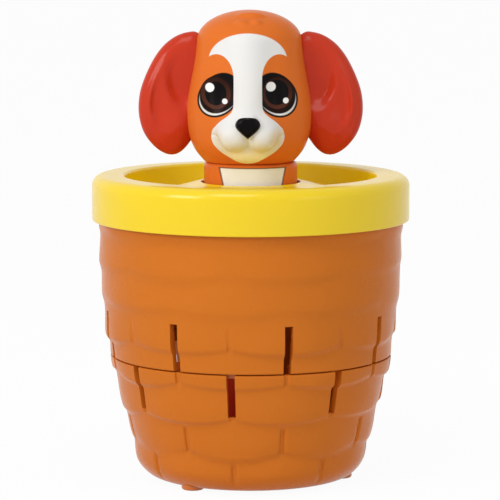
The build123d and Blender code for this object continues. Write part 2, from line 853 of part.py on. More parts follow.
def build():
    """Every piece, by the name of its node."""
    low_wall, high_wall = shell_walls()
    outside = head_outside()
    head_front, head_back = head_shells(outside)
    right_ear = ear(outside)
    return {
        "lower_basket": lower_basket(low_wall),
        "upper_basket": upper_basket(high_wall),
        "rim_deck": rim_deck(),
        "basket_screws": Compound(children=basket_screws()),
        "launch_tube": launch_tube(),
        "tube_base": tube_base(),
        "base_screws": Compound(children=base_screws()),
        "stop_pin": stop_pin(),
        "trigger_pin": trigger_pin(),
        "trigger_lever": trigger_lever(),
        "trigger_spring": trigger_spring(),
        "plunger_stem": plunger_stem(),
        "plunger_platform": plunger_platform(),
        "platform_screw": platform_screw(),
        "launch_spring": launch_spring(),
        "dog_body": dog_body(),
        "dog_base": dog_base(),
        "dog_head_front": head_front,
        "dog_head_back": head_back,
        "ear_right": right_ear,
        "ear_left": mirror(right_ear, about=Plane.YZ),
        "neck_screw": neck_screw(),
    }


os.makedirs("parts", exist_ok=True)
for node, shape in build().items():
    export_step(shape, f"parts/{node}.step")
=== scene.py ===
import math

import bmesh
import bpy
import numpy as np
from bpy.props import FloatProperty, FloatVectorProperty, PointerProperty
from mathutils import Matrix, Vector


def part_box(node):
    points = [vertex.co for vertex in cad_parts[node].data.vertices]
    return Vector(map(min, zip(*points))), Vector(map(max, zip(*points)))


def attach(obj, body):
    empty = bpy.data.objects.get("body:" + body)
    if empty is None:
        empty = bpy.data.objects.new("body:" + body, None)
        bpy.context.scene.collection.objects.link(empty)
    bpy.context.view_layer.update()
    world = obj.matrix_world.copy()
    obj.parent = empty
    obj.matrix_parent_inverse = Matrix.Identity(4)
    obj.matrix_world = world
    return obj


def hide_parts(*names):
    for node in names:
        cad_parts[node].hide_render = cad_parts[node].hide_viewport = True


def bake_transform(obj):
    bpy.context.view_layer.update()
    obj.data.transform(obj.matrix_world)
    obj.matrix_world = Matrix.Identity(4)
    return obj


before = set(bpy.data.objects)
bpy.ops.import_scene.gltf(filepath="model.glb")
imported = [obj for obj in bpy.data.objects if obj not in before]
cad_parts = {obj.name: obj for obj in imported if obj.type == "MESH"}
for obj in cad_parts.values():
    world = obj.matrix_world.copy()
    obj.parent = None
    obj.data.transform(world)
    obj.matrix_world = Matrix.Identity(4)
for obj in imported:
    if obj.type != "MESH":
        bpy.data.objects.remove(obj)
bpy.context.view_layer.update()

bl_info = {
    "name": "Pop-up Dog Game",
    "version": (1, 0, 0),
    "blender": (4, 5, 0),
    "location": "View3D > Sidebar > Pop-up",
    "description": "Dresses the pop-up dog game: woven basket, rim, puppy, mechanism and studio",
    "category": "Object",
}

# Outlines and places below are in millimetres, in the part's own frame
MM = 0.001

# Basket shells
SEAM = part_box("lower_basket")[1].z / MM
SEAM_GAP = 0.5
FIRST_ROW_TOP = 18.2
ROW_HEIGHT = 14.8
SEAM_RADIUS = 59.2
BASE_RADIUS = 50.0
BOTTOM_RADIUS = 41.0
FOOT_HEIGHT = 1.5
FLOOR_TOP = 3.9
WALL = 2.8
EDGE_ROUND = 0.4
EDGE_BEVEL = 0.3 * EDGE_ROUND
# How far a piece sinks into the one that it stands on
BOND = 0.2
# Rows up the shells, places across the floor and a slot, and columns between two slots
LOWER_ROWS = 34
UPPER_SLOT_ROWS = 36
UPPER_ROWS = 66
FLOOR_SHARES = (0, 0.4, 0.7, 0.9)
SLOT_SHARES = (-1.0, -0.75, -0.5, 0.0, 0.5, 0.75)
BRICK_COLUMNS = 14
BRICKS = 8
LOWER_SLOT_ANGLE = -8.0
UPPER_SLOT_ANGLE = LOWER_SLOT_ANGLE + 180 / BRICKS
SLOT_WIDTH = 3.4
LOWER_TOP = SEAM - SEAM_GAP
LOWER_SLOT_BOTTOM = SEAM - 18.7
UPPER_SLOT_TOP = SEAM + 20.0
# How far a slot's cut goes past the seam, to leave it open there
PAST_SEAM = 1.0
LIP_DROP = 2.2
LIP_RISE = 3.0
LIP_THICKNESS = 1.4
LIP_CLEARANCE = 0.25
LIP_STEP = 0.05

# Relief: its seed, the heights where it begins and ends to grow quiet, and those where it fades in above the floor
RELIEF_SEED = 4.0
QUIET_FROM = 55.0
QUIET_TO = 80.0
FADE_FROM = 2.0
FADE_TO = 10.0
# Relief: height of a brick's ledge, plain and where quiet, where it begins to fall back upwards and sideways, what is
# left at its sides, and the edges and ends of its joints, all as shares
LEDGE = 0.13
LEDGE_QUIET = 0.2
TUCK_FROM = 0.2
CROWN_FROM = 0.3
CROWN_SIDES = 0.55
JOINT_EDGE = (0.24, 0.38)
JOINT_LOW = 0.1
JOINT_HIGH = 0.86

# Feet, as number, circle and angle of the first, and the shape of one
FOOT_RING = (3, 39.0, -38.5)
FOOT_RADIUS = 4.8
FOOT_ROUND = 0.9
FOOT_TOP = 2.6

# Screw posts, with the screws' wells, holes and pilot holes
POST_CIRCLE = 44.0
POST_RING = (4, POST_CIRCLE, (LOWER_SLOT_ANGLE + UPPER_SLOT_ANGLE) / 2)
POST_RADIUS = 4.2
POST_SEAT = 5.0
POST_RISE = 12.0
WELL_RADIUS = 3.1
HOLE_RADIUS = 1.7
PILOT_RADIUS = 1.42
PILOT_DEPTH = 9.0
# Room inside the shell that the lower posts are trimmed to: how far in from the side, rows, and spare height
ROOM_INSET = 1.5
ROOM_ROWS = 40
ROOM_SPARE = 0.5
# Webs: thickness, how far they go into the shell and into the posts, and how far below the posts' tops they end
WEB_THICKNESS = 2.4
WEB_BITE = 0.3
WEB_END = 1.0
WEB_DROP = 0.01
# The launcher's bearing on the floor: a spigot and a thrust ring
SPIGOT_RADIUS = 5.0
SPIGOT_HEIGHT = 6.0
THRUST_INNER = 8.0
THRUST_OUTER = 10.5
THRUST_HEIGHT = 1.0

# Rim and deck
RIM_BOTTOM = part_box("rim_deck")[0].z / MM
RIM_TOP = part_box("rim_deck")[1].z / MM
RIM_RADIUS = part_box("rim_deck")[1].x / MM
RIM_WALL = 2.2
RIM_INNER = RIM_RADIUS - 13.9
RIM_CORNER = 4.5
BASKET_TOP_RADIUS = RIM_RADIUS - RIM_WALL - 1.3
COLLAR_RADIUS = BASKET_TOP_RADIUS - 1.2
COLLAR_LOW = RIM_BOTTOM + 1.5
COLLAR_STEP = 0.1
COLLAR_TOP = RIM_TOP - RIM_WALL
NECK_RADIUS = 22.8
NECK_WALL = 2.0
NECK_LOW = 124.0
HOOD_RADIUS = 21.1
HOOD_LOW = 126.0
DECK_NECK = 127.0
DECK_EDGE = 119.0
DECK_THICKNESS = 2.0
DECK_RISE = 1.5
RECESS_ROUND = 1.2
RECESS_EDGE = (RIM_INNER + 0.1, RIM_INNER + 0.9)
SKIRT_ROUND = 0.5
INNER_ROUND = 0.3

# Puppy
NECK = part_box("dog_head_front")[0].z / MM
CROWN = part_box("dog_head_front")[1].z / MM
HEAD_CENTRE = (0.0, 0.0, 165.0)
HEAD_TURN = -1.0
HEAD_SHIFT = (-0.6, 0.0, 0.0)
BIB_TURN = 3.0
BODY_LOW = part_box("dog_body")[0].z / MM
BODY_RADIUS = 19.8
BODY_ROUND = 1.5
BODY_WALL = 2.2
BODY_BORE = 6.0
PLUG_DEPTH = 5.0
KEY_WIDTH = 3.0
KEY_DEPTH = 1.0
KEY_TOP = 113.6
FACE_MIDDLE = -1.2


def colour_setting(name, text, default):
    """A colour that a user may change."""
    return FloatVectorProperty(name=name, description=text, subtype="COLOR", size=3, min=0, max=1, default=default)


def length_setting(name, text, default):
    """A length that a user may change, in metres."""
    return FloatProperty(name=name, description=text, subtype="DISTANCE", unit="LENGTH", precision=5, default=default)


def share_setting(name, text, default):
    """A share between nothing and all that a user may change."""
    return FloatProperty(name=name, description=text, subtype="FACTOR", min=0, max=1, default=default)


def power_setting(name, text, default):
    """A lamp's power that a user may change, in watts."""
    return FloatProperty(name=name, description=text, unit="POWER", default=default)


class BasketSettings(bpy.types.PropertyGroup):
    """Sizes and colours of the basket and its rim."""

    orange: colour_setting("Basket orange", "Colour of the moulded shells", (0.61, 0.165, 0.014))
    yellow: colour_setting("Rim yellow", "Colour of the rim and the deck", (0.88, 0.63, 0.006))
    # Painted light: a brighter yellow for the recess inside the rim, standing in for light that comes through its walls
    # and is thrown between them
    deep_yellow: colour_setting("Recess glow yellow", "Painted glow of the recess inside the rim, for light through its walls", (1.0, 0.78, 0.0))
    edge_dip: length_setting("Edge dip", "How far the lower edge of a brick hangs down in its middle", 0.0030)
    swelling: length_setting("Swelling", "How far a brick stands out from the basket's side", 0.0013)
    groove: length_setting("Groove", "Depth of the joint between two bricks", 0.0009)
    quiet: share_setting("Quiet upper rows", "How much of the relief is lost towards the rim", 0.45)
    uneven: share_setting("Uneven bricks", "How much one brick differs from the next", 0.3)


class PuppySettings(bpy.types.PropertyGroup):
    """Colours of the puppy."""

    orange: colour_setting("Coat orange", "Colour of the head and the body", (0.74, 0.17, 0.025))
    red: colour_setting("Ear red", "Colour of the ears", (0.56, 0.04, 0.014))
    white: colour_setting("Blaze white", "Paint of the blaze and the muzzle", (0.80, 0.79, 0.77))
    # Painted light: a brighter white than the muzzle's, for the chin that faces down into shade
    chin: colour_setting("Chin light white", "Whiter paint on the chin, painted light where it faces down", (1.0, 0.95, 0.84))
    cream: colour_setting("Bib cream", "Paint of the bib", (0.90, 0.90, 0.90))
    brown: colour_setting("Eye brown", "Paint of the eyes' coloured rings", (0.068, 0.020, 0.011))
    black: colour_setting("Nose black", "Paint of the nose, the pupils and the eyes' outlines", (0.004, 0.003, 0.003))


class MechanismSettings(bpy.types.PropertyGroup):
    """Colours of the pieces inside the basket."""

    red: colour_setting("Launcher red", "Colour of the tube and the plunger", (0.42, 0.02, 0.01))
    black: colour_setting("Lever black", "Colour of the trigger lever", (0.03, 0.03, 0.03))
    steel: colour_setting("Steel", "Colour of the screws, pins and springs", (0.55, 0.55, 0.56))


class StageSettings(bpy.types.PropertyGroup):
    """Camera, lamps and floor."""

    lens: FloatProperty(name="Lens", description="Focal length", subtype="DISTANCE_CAMERA", default=199.3)
    camera_distance: length_setting("Camera distance", "How far the camera stands in front of the axis", 1.17285)
    camera_height: length_setting("Camera height", "Height of the camera above the floor", 0.24467)
    camera_tilt: FloatProperty(
        name="Camera tilt", description="How far the camera looks down", subtype="ANGLE", default=math.radians(7.156)
    )
    camera_aside: length_setting("Camera aside", "How far the camera stands to the right of the axis", -0.0003)
    key: power_setting("Key lamp", "Power of the lamp at the front left", 5.7)
    fill: power_setting("Fill lamp", "Power of the lamp at the front right", 0.8)
    top: power_setting("Top lamp", "Power of the lamp overhead", 3.6)
    inside: power_setting("Inside lamp", "Power of each lamp in the basket", 0.008)
    ambient: share_setting("Ambient", "Light from all round", 0.55)
    floor: colour_setting("Floor", "Colour of the floor", (0.9, 0.9, 0.9))


# Nodes

# Height of the grain of moulded plastic, in metres
GRAIN_DEPTH = 0.00002
# Noise of moulded plastic, as scale and detail
SLOW_NOISE = (22.0, 2.0)
FINE_NOISE = (1400.0, 3.0)
STREAK_NOISE = (130.0, 4.0)
STREAK_GLOSS = 0.12
WHITE = (1.0, 1.0, 1.0, 1.0)


def feed(tree, socket, value):
    """Join a socket to an input, or set the input's own value."""
    if isinstance(value, bpy.types.NodeSocket):
        tree.links.new(value, socket)
    else:
        socket.default_value = value


def place(tree, kind, values=(), **options):
    """Add a node, set its options and feed its inputs, listed in order or by name."""
    node = tree.nodes.new(kind)
    for option, choice in options.items():
        setattr(node, option, choice)
    pairs = values.items() if isinstance(values, dict) else enumerate(values)
    for key, value in pairs:
        feed(tree, node.inputs[key], value)
    return node


def calc(tree, operation, *values):
    """Result of one Math node."""
    return place(tree, "ShaderNodeMath", values, operation=operation).outputs[0]


def ease(tree, value, low, high, start=0.0, end=1.0):
    """Value carried smoothly from one range to another."""
    node = place(tree, "ShaderNodeMapRange", (value, low, high, start, end), interpolation_type="SMOOTHSTEP")
    return node.outputs[0]


def blend(tree, share, first, second, way="MIX"):
    """Mix of two colours."""
    values = {0: share, 6: first, 7: second}
    return place(tree, "ShaderNodeMix", values, data_type="RGBA", blend_type=way).outputs[2]


def new_group(name, kind, inputs, outputs):
    """Empty node group with named sockets, and its input and output nodes."""
    tree = bpy.data.node_groups.new(name, kind)
    for socket, socket_type, default in inputs:
        item = tree.interface.new_socket(name=socket, in_out="INPUT", socket_type="NodeSocket" + socket_type)
        if default is not None:
            item.default_value = default
    for socket, socket_type in outputs:
        tree.interface.new_socket(name=socket, in_out="OUTPUT", socket_type="NodeSocket" + socket_type)
    return tree, tree.nodes.new("NodeGroupInput").outputs, tree.nodes.new("NodeGroupOutput").inputs


def opaque(colour):
    """Colour with full alpha."""
    return (*colour, 1.0)


def plastic_group():
    """Moulded plastic: slow changes of tone, changes of gloss, and a fine grain."""
    if "Moulded plastic" in bpy.data.node_groups:
        return bpy.data.node_groups["Moulded plastic"]
    tree, given, result = new_group(
        "Moulded plastic",
        "ShaderNodeTree",
        (
            ("Colour", "Color", (0.8, 0.8, 0.8, 1)),
            ("Tone", "Float", 0.05),
            ("Gloss", "Float", 0.3),
            ("Grain", "Float", 1.0),
        ),
        (("Colour", "Color"), ("Roughness", "Float"), ("Height", "Float")),
    )
    here = place(tree, "ShaderNodeTexCoord").outputs["Object"]
    slow, fine, streak = (
        place(tree, "ShaderNodeTexNoise", {"Vector": here, "Scale": scale, "Detail": detail}).outputs["Fac"]
        for scale, detail in (SLOW_NOISE, FINE_NOISE, STREAK_NOISE)
    )
    swing = calc(tree, "MULTIPLY", calc(tree, "SUBTRACT", slow, 0.5), given["Tone"])
    tone = calc(tree, "MULTIPLY_ADD", swing, 2.0, 1.0)
    varied = place(tree, "ShaderNodeHueSaturation", {"Value": tone, "Color": given["Colour"]}).outputs[0]
    tree.links.new(varied, result["Colour"])
    shift = calc(tree, "MULTIPLY_ADD", calc(tree, "SUBTRACT", streak, 0.5), STREAK_GLOSS, given["Gloss"])
    tree.links.new(shift, result["Roughness"])
    tree.links.new(calc(tree, "MULTIPLY", fine, given["Grain"]), result["Height"])
    return tree


def oval_group():
    """Painted oval, seen from the front, in millimetres."""
    if "Painted oval" in bpy.data.node_groups:
        return bpy.data.node_groups["Painted oval"]
    tree, given, result = new_group(
        "Painted oval",
        "ShaderNodeTree",
        (
            ("X", "Float", 0.0),
            ("Z", "Float", 0.0),
            ("Middle X", "Float", 0.0),
            ("Middle Z", "Float", 0.0),
            ("Half width", "Float", 1.0),
            ("Half height", "Float", 1.0),
            ("Tilt", "Float", 0.0),
            ("Softness", "Float", 0.03),
        ),
        (("Mask", "Float"),),
    )
    across = calc(tree, "SUBTRACT", given["X"], given["Middle X"])
    upward = calc(tree, "SUBTRACT", given["Z"], given["Middle Z"])
    flat = place(tree, "ShaderNodeCombineXYZ", (across, upward, 0.0)).outputs[0]
    lean = calc(tree, "MULTIPLY", given["Tilt"], -1.0)
    level = place(tree, "ShaderNodeVectorRotate", {"Vector": flat, "Angle": lean}, rotation_type="Z_AXIS").outputs[0]
    axes = place(tree, "ShaderNodeSeparateXYZ", (level,)).outputs
    across = calc(tree, "DIVIDE", axes["X"], given["Half width"])
    upward = calc(tree, "DIVIDE", axes["Y"], given["Half height"])
    squares = calc(tree, "ADD", calc(tree, "POWER", across, 2.0), calc(tree, "POWER", upward, 2.0))
    reach = calc(tree, "SQRT", squares)
    inner = calc(tree, "SUBTRACT", 1.0, given["Softness"])
    outer = calc(tree, "ADD", 1.0, given["Softness"])
    tree.links.new(ease(tree, reach, inner, outer, 1.0, 0.0), result["Mask"])
    return tree


def front_spot(tree):
    """Place on the surface in millimetres: across, forward and up."""
    here = place(tree, "ShaderNodeTexCoord").outputs["Object"]
    scaled = place(tree, "ShaderNodeVectorMath", {"Vector": here, "Scale": 1 / MM}, operation="SCALE").outputs[0]
    return place(tree, "ShaderNodeSeparateXYZ", (scaled,)).outputs


def finish_tree(tree, geometry, given, result):
    """End a Geometry Nodes tree with real geometry in the given finish."""
    whole = place(tree, "GeometryNodeRealizeInstances", {"Geometry": geometry}).outputs[0]
    dressed = place(tree, "GeometryNodeSetMaterial", {"Geometry": whole, "Material": given["Finish"]}).outputs[0]
    tree.links.new(dressed, result["Geometry"])
    return tree


def bare_tree(owner):
    """Node tree of a new material or world, with nothing in it."""
    owner.use_nodes = True
    owner.node_tree.nodes.clear()
    return owner.node_tree


def empty_material(name, mirror=0.5):
    """Material with only a Principled shader and its output."""
    material = bpy.data.materials.new(name)
    tree = bare_tree(material)
    shader = place(tree, "ShaderNodeBsdfPrincipled", {"Specular IOR Level": mirror})
    place(tree, "ShaderNodeOutputMaterial", {"Surface": shader.outputs[0]})
    return material, tree, shader


def plastic_node(tree, colour, tone, gloss, grain):
    """Moulded-plastic group placed in a material."""
    return place(tree, "ShaderNodeGroup", (colour, tone, gloss, grain), node_tree=plastic_group())


def add_grain(tree, shader, finish, strength):
    """Lay the fine grain of a moulded-plastic node on a shader."""
    values = {"Strength": strength, "Distance": GRAIN_DEPTH, "Height": finish.outputs["Height"]}
    bump = place(tree, "ShaderNodeBump", values)
    tree.links.new(bump.outputs["Normal"], shader.inputs["Normal"])


def moulded(tree, shader, colour, tone, gloss, grain=1.0):
    """Feed a shader from the moulded-plastic group."""
    finish = plastic_node(tree, colour, tone, gloss, grain)
    tree.links.new(finish.outputs["Colour"], shader.inputs["Base Color"])
    tree.links.new(finish.outputs["Roughness"], shader.inputs["Roughness"])
    add_grain(tree, shader, finish, strength=0.35)
    return finish


def plastic(name, colour, tone=0.05, gloss=0.3, grain=1.0, mirror=0.5):
    """Plain moulded plastic of one colour."""
    material, tree, shader = empty_material(name, mirror)
    moulded(tree, shader, opaque(colour), tone, gloss, grain)
    return material


def steel(name, colour, gloss):
    """Drawn or plated steel with fine marks."""
    material, tree, shader = empty_material(name)
    shader.inputs["Metallic"].default_value = 1.0
    moulded(tree, shader, opaque(colour), tone=0.12, gloss=gloss, grain=1.6)
    return material


# Meshes

# Points closer together than this are one point, in metres
SAME_POINT = 1e-7


def raw_mesh(name, points, faces):
    """Mesh from points in millimetres, as they are."""
    mesh = bpy.data.meshes.new(name)
    mesh.from_pydata((np.asarray(points, float) * MM).tolist(), [], faces)
    return mesh


def mend(mesh):
    """Merge doubled points, drop loose ones and turn the faces outwards."""
    work = bmesh.new()
    work.from_mesh(mesh)
    bmesh.ops.remove_doubles(work, verts=work.verts, dist=SAME_POINT)
    bmesh.ops.delete(work, geom=[vert for vert in work.verts if not vert.link_faces], context="VERTS")
    bmesh.ops.recalc_face_normals(work, faces=work.faces)
    work.to_mesh(mesh)
    work.free()


def new_mesh(name, points, faces):
    """Mesh from points in millimetres, with doubles merged and faces turned outwards."""
    mesh = raw_mesh(name, points, faces)
    mend(mesh)
    return mesh


def smooth(mesh, crease=40):
    """Smooth shading, but for edges that turn by more than the crease angle."""
    mesh.polygons.foreach_set("use_smooth", [True] * len(mesh.polygons))
    mesh.set_sharp_from_angle(angle=math.radians(crease))


def dress(mesh, material):
    """Give a mesh one material."""
    mesh.materials.clear()
    mesh.materials.append(material)


def show(name, data):
    """Put a mesh, a lamp or a camera in the scene."""
    shown = bpy.data.objects.new(name, data)
    bpy.context.scene.collection.objects.link(shown)
    return shown


def add_piece(name, mesh, material, body, nodes=()):
    """Show a finished mesh as a piece of the object, riding on its body."""
    dress(mesh, material)
    piece = show(name, mesh)
    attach(piece, body)
    if nodes:
        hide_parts(*nodes)


def settled(shown):
    """Plain mesh that an object's modifiers make. The object goes."""
    depsgraph = bpy.context.evaluated_depsgraph_get()
    made = bpy.data.meshes.new_from_object(shown.evaluated_get(depsgraph))
    shown.modifiers.clear()
    bpy.data.objects.remove(shown)
    return made


def grown(name, mesh, tree, inputs):
    """Plain mesh that a Geometry Nodes tree makes from a starting mesh."""
    start = show(name + "_start", mesh)
    modifier = start.modifiers.new("Nodes", "NODES")
    modifier.node_group = tree
    sockets = {item.name: item.identifier for item in tree.interface.items_tree if item.in_out == "INPUT"}
    for socket, value in inputs.items():
        modifier[sockets[socket]] = value
    made = settled(start)
    made.name = name
    return made


def lathe(outline, segments=192):
    """Points and faces of a closed outline of radius and height, turned about the axis."""
    points = []
    for step in range(segments):
        angle = 2 * math.pi * step / segments
        points += [(radius * math.sin(angle), -radius * math.cos(angle), height) for radius, height in outline]
    count = len(outline)
    faces = []
    for step in range(segments):
        here = step * count
        there = (step + 1) % segments * count
        for row in range(count):
            after = (row + 1) % count
            faces.append((here + row, there + row, there + after, here + after))
    return points, faces


def ring_faces(rows, count, first=0):
    """Faces between rows of points, each row a closed ring."""
    faces = []
    for row in range(rows - 1):
        low = first + row * count
        high = low + count
        for column in range(count):
            after = (column + 1) % count
            faces.append((low + column, low + after, high + after, high + column))
    return faces


def eased(share):
    """Share that leaves 0 and reaches 1 smoothly."""
    return share * share * (3 - 2 * share)


def arc(middle, radius, start, end, steps):
    """Points of an arc in the outline's plane, angles in degrees."""
    turns = np.radians(np.linspace(start, end, steps + 1))
    return [(middle[0] + radius * math.cos(turn), middle[1] + radius * math.sin(turn)) for turn in turns]


# Basket

def side_radius(height):
    """Radius of the basket's side, before the relief."""
    if height < FIRST_ROW_TOP:
        fall = (FIRST_ROW_TOP - height) / (FIRST_ROW_TOP - FOOT_HEIGHT)
        return BOTTOM_RADIUS + (BASE_RADIUS - BOTTOM_RADIUS) * math.sqrt(max(0.0, 1 - fall ** 2))
    lower_slope = (SEAM_RADIUS - BASE_RADIUS) / (SEAM - FIRST_ROW_TOP)
    upper_slope = (BASKET_TOP_RADIUS - SEAM_RADIUS) / (RIM_BOTTOM - SEAM)
    bend = (upper_slope - lower_slope) / (RIM_BOTTOM - FIRST_ROW_TOP)
    return BASE_RADIUS + (height - FIRST_ROW_TOP) * (lower_slope + bend * (height - SEAM))


def wall_levels(heights):
    """Rows of outer radius and height and inner radius and height, up a shell's side."""
    return [(side_radius(height), height, side_radius(height) - WALL, height) for height in heights]


def lower_levels():
    """Rows of the lower shell, from the middle of its floor to the seam."""
    inner_edge = side_radius(FLOOR_TOP) - WALL
    rows = [(BOTTOM_RADIUS * share, FOOT_HEIGHT, inner_edge * share, FLOOR_TOP) for share in FLOOR_SHARES]
    for turn in range(0, 90, 5):
        rise = 1 - math.cos(math.radians(turn))
        height = FOOT_HEIGHT + (FIRST_ROW_TOP - FOOT_HEIGHT) * rise
        inner = FLOOR_TOP + (FIRST_ROW_TOP - FLOOR_TOP) * rise
        rows.append((side_radius(height), height, side_radius(inner) - WALL, inner))
    rows += wall_levels(np.linspace(FIRST_ROW_TOP, LOWER_SLOT_BOTTOM, LOWER_ROWS)[:-1])
    rows += wall_levels(np.linspace(LOWER_SLOT_BOTTOM, LOWER_TOP - EDGE_ROUND, LOWER_ROWS))
    inner = side_radius(LOWER_TOP) - WALL
    bevel = LOWER_TOP - EDGE_BEVEL
    rows.append((side_radius(LOWER_TOP) - EDGE_BEVEL, bevel, inner, bevel))
    rows.append((side_radius(LOWER_TOP) - EDGE_ROUND, LOWER_TOP, inner, LOWER_TOP))
    return rows


def upper_levels():
    """Rows of the upper shell, from the seam to the collar inside the rim."""
    inner = SEAM_RADIUS - WALL
    bevel = SEAM + EDGE_BEVEL
    rows = [
        (SEAM_RADIUS - EDGE_ROUND, SEAM, inner, SEAM),
        (SEAM_RADIUS - EDGE_BEVEL, bevel, inner, bevel),
    ]
    rows += wall_levels(np.linspace(SEAM + EDGE_ROUND, UPPER_SLOT_TOP, UPPER_SLOT_ROWS)[:-1])
    rows += wall_levels(np.linspace(UPPER_SLOT_TOP, COLLAR_LOW, UPPER_ROWS))
    inner = side_radius(RIM_BOTTOM) - WALL
    rows += [(COLLAR_RADIUS, height, inner, height) for height in (COLLAR_LOW + COLLAR_STEP, COLLAR_TOP)]
    return rows


def slot_columns(slot_angle, radius):
    """Angles round a shell, with lines along the edges of the slots and of the joints between them."""
    half = math.degrees(math.asin(SLOT_WIDTH / 2 / radius))
    step = 180 / BRICKS
    angles = []
    in_slot = []
    for joint in range(2 * BRICKS):
        middle = slot_angle + joint * step
        for share in SLOT_SHARES:
            angles.append(middle + share * half)
            in_slot.append(joint % 2 == 0)
        for share in np.linspace(0, 1, BRICK_COLUMNS, endpoint=False):
            angles.append(middle + half + (step - 2 * half) * share)
            in_slot.append(False)
    return np.radians(angles), np.array(in_slot)


def shell_faces(levels, angles, left_out):
    """Points and faces of a wall with two skins, with the cells marked as left out open through the wall."""
    rows = len(levels)
    count = len(angles)
    table = np.array(levels)
    ring = np.stack((np.sin(angles), -np.cos(angles)), axis=1)
    skins = []
    for radius, height in ((table[:, 0], table[:, 1]), (table[:, 2], table[:, 3])):
        flat = ring[None, :, :] * radius[:, None, None]
        upright = np.repeat(height[:, None, None], count, axis=1)
        skins.append(np.concatenate((flat, upright), axis=2).reshape(-1, 3))
    inner = rows * count
    faces = []
    for row in range(rows - 1):
        for column in range(count):
            after = (column + 1) % count
            corners = (row * count + column, row * count + after, (row + 1) * count + after, (row + 1) * count + column)
            shut = not left_out[row, column]
            if shut:
                faces.append(corners)
                faces.append(tuple(corner + inner for corner in reversed(corners)))
            if shut != (not left_out[row, after]):
                low, high = corners[1], corners[2]
                faces.append((low, low + inner, high + inner, high))
            if row < rows - 2 and shut != (not left_out[row + 1, column]):
                faces.append((corners[3], corners[2], corners[2] + inner, corners[3] + inner))
            if row == 0 and shut and levels[0][0] > 0:
                faces.append((corners[0], corners[1], corners[1] + inner, corners[0] + inner))
            if row == rows - 2 and shut:
                faces.append((corners[3], corners[2], corners[2] + inner, corners[3] + inner))
    return np.concatenate(skins), faces


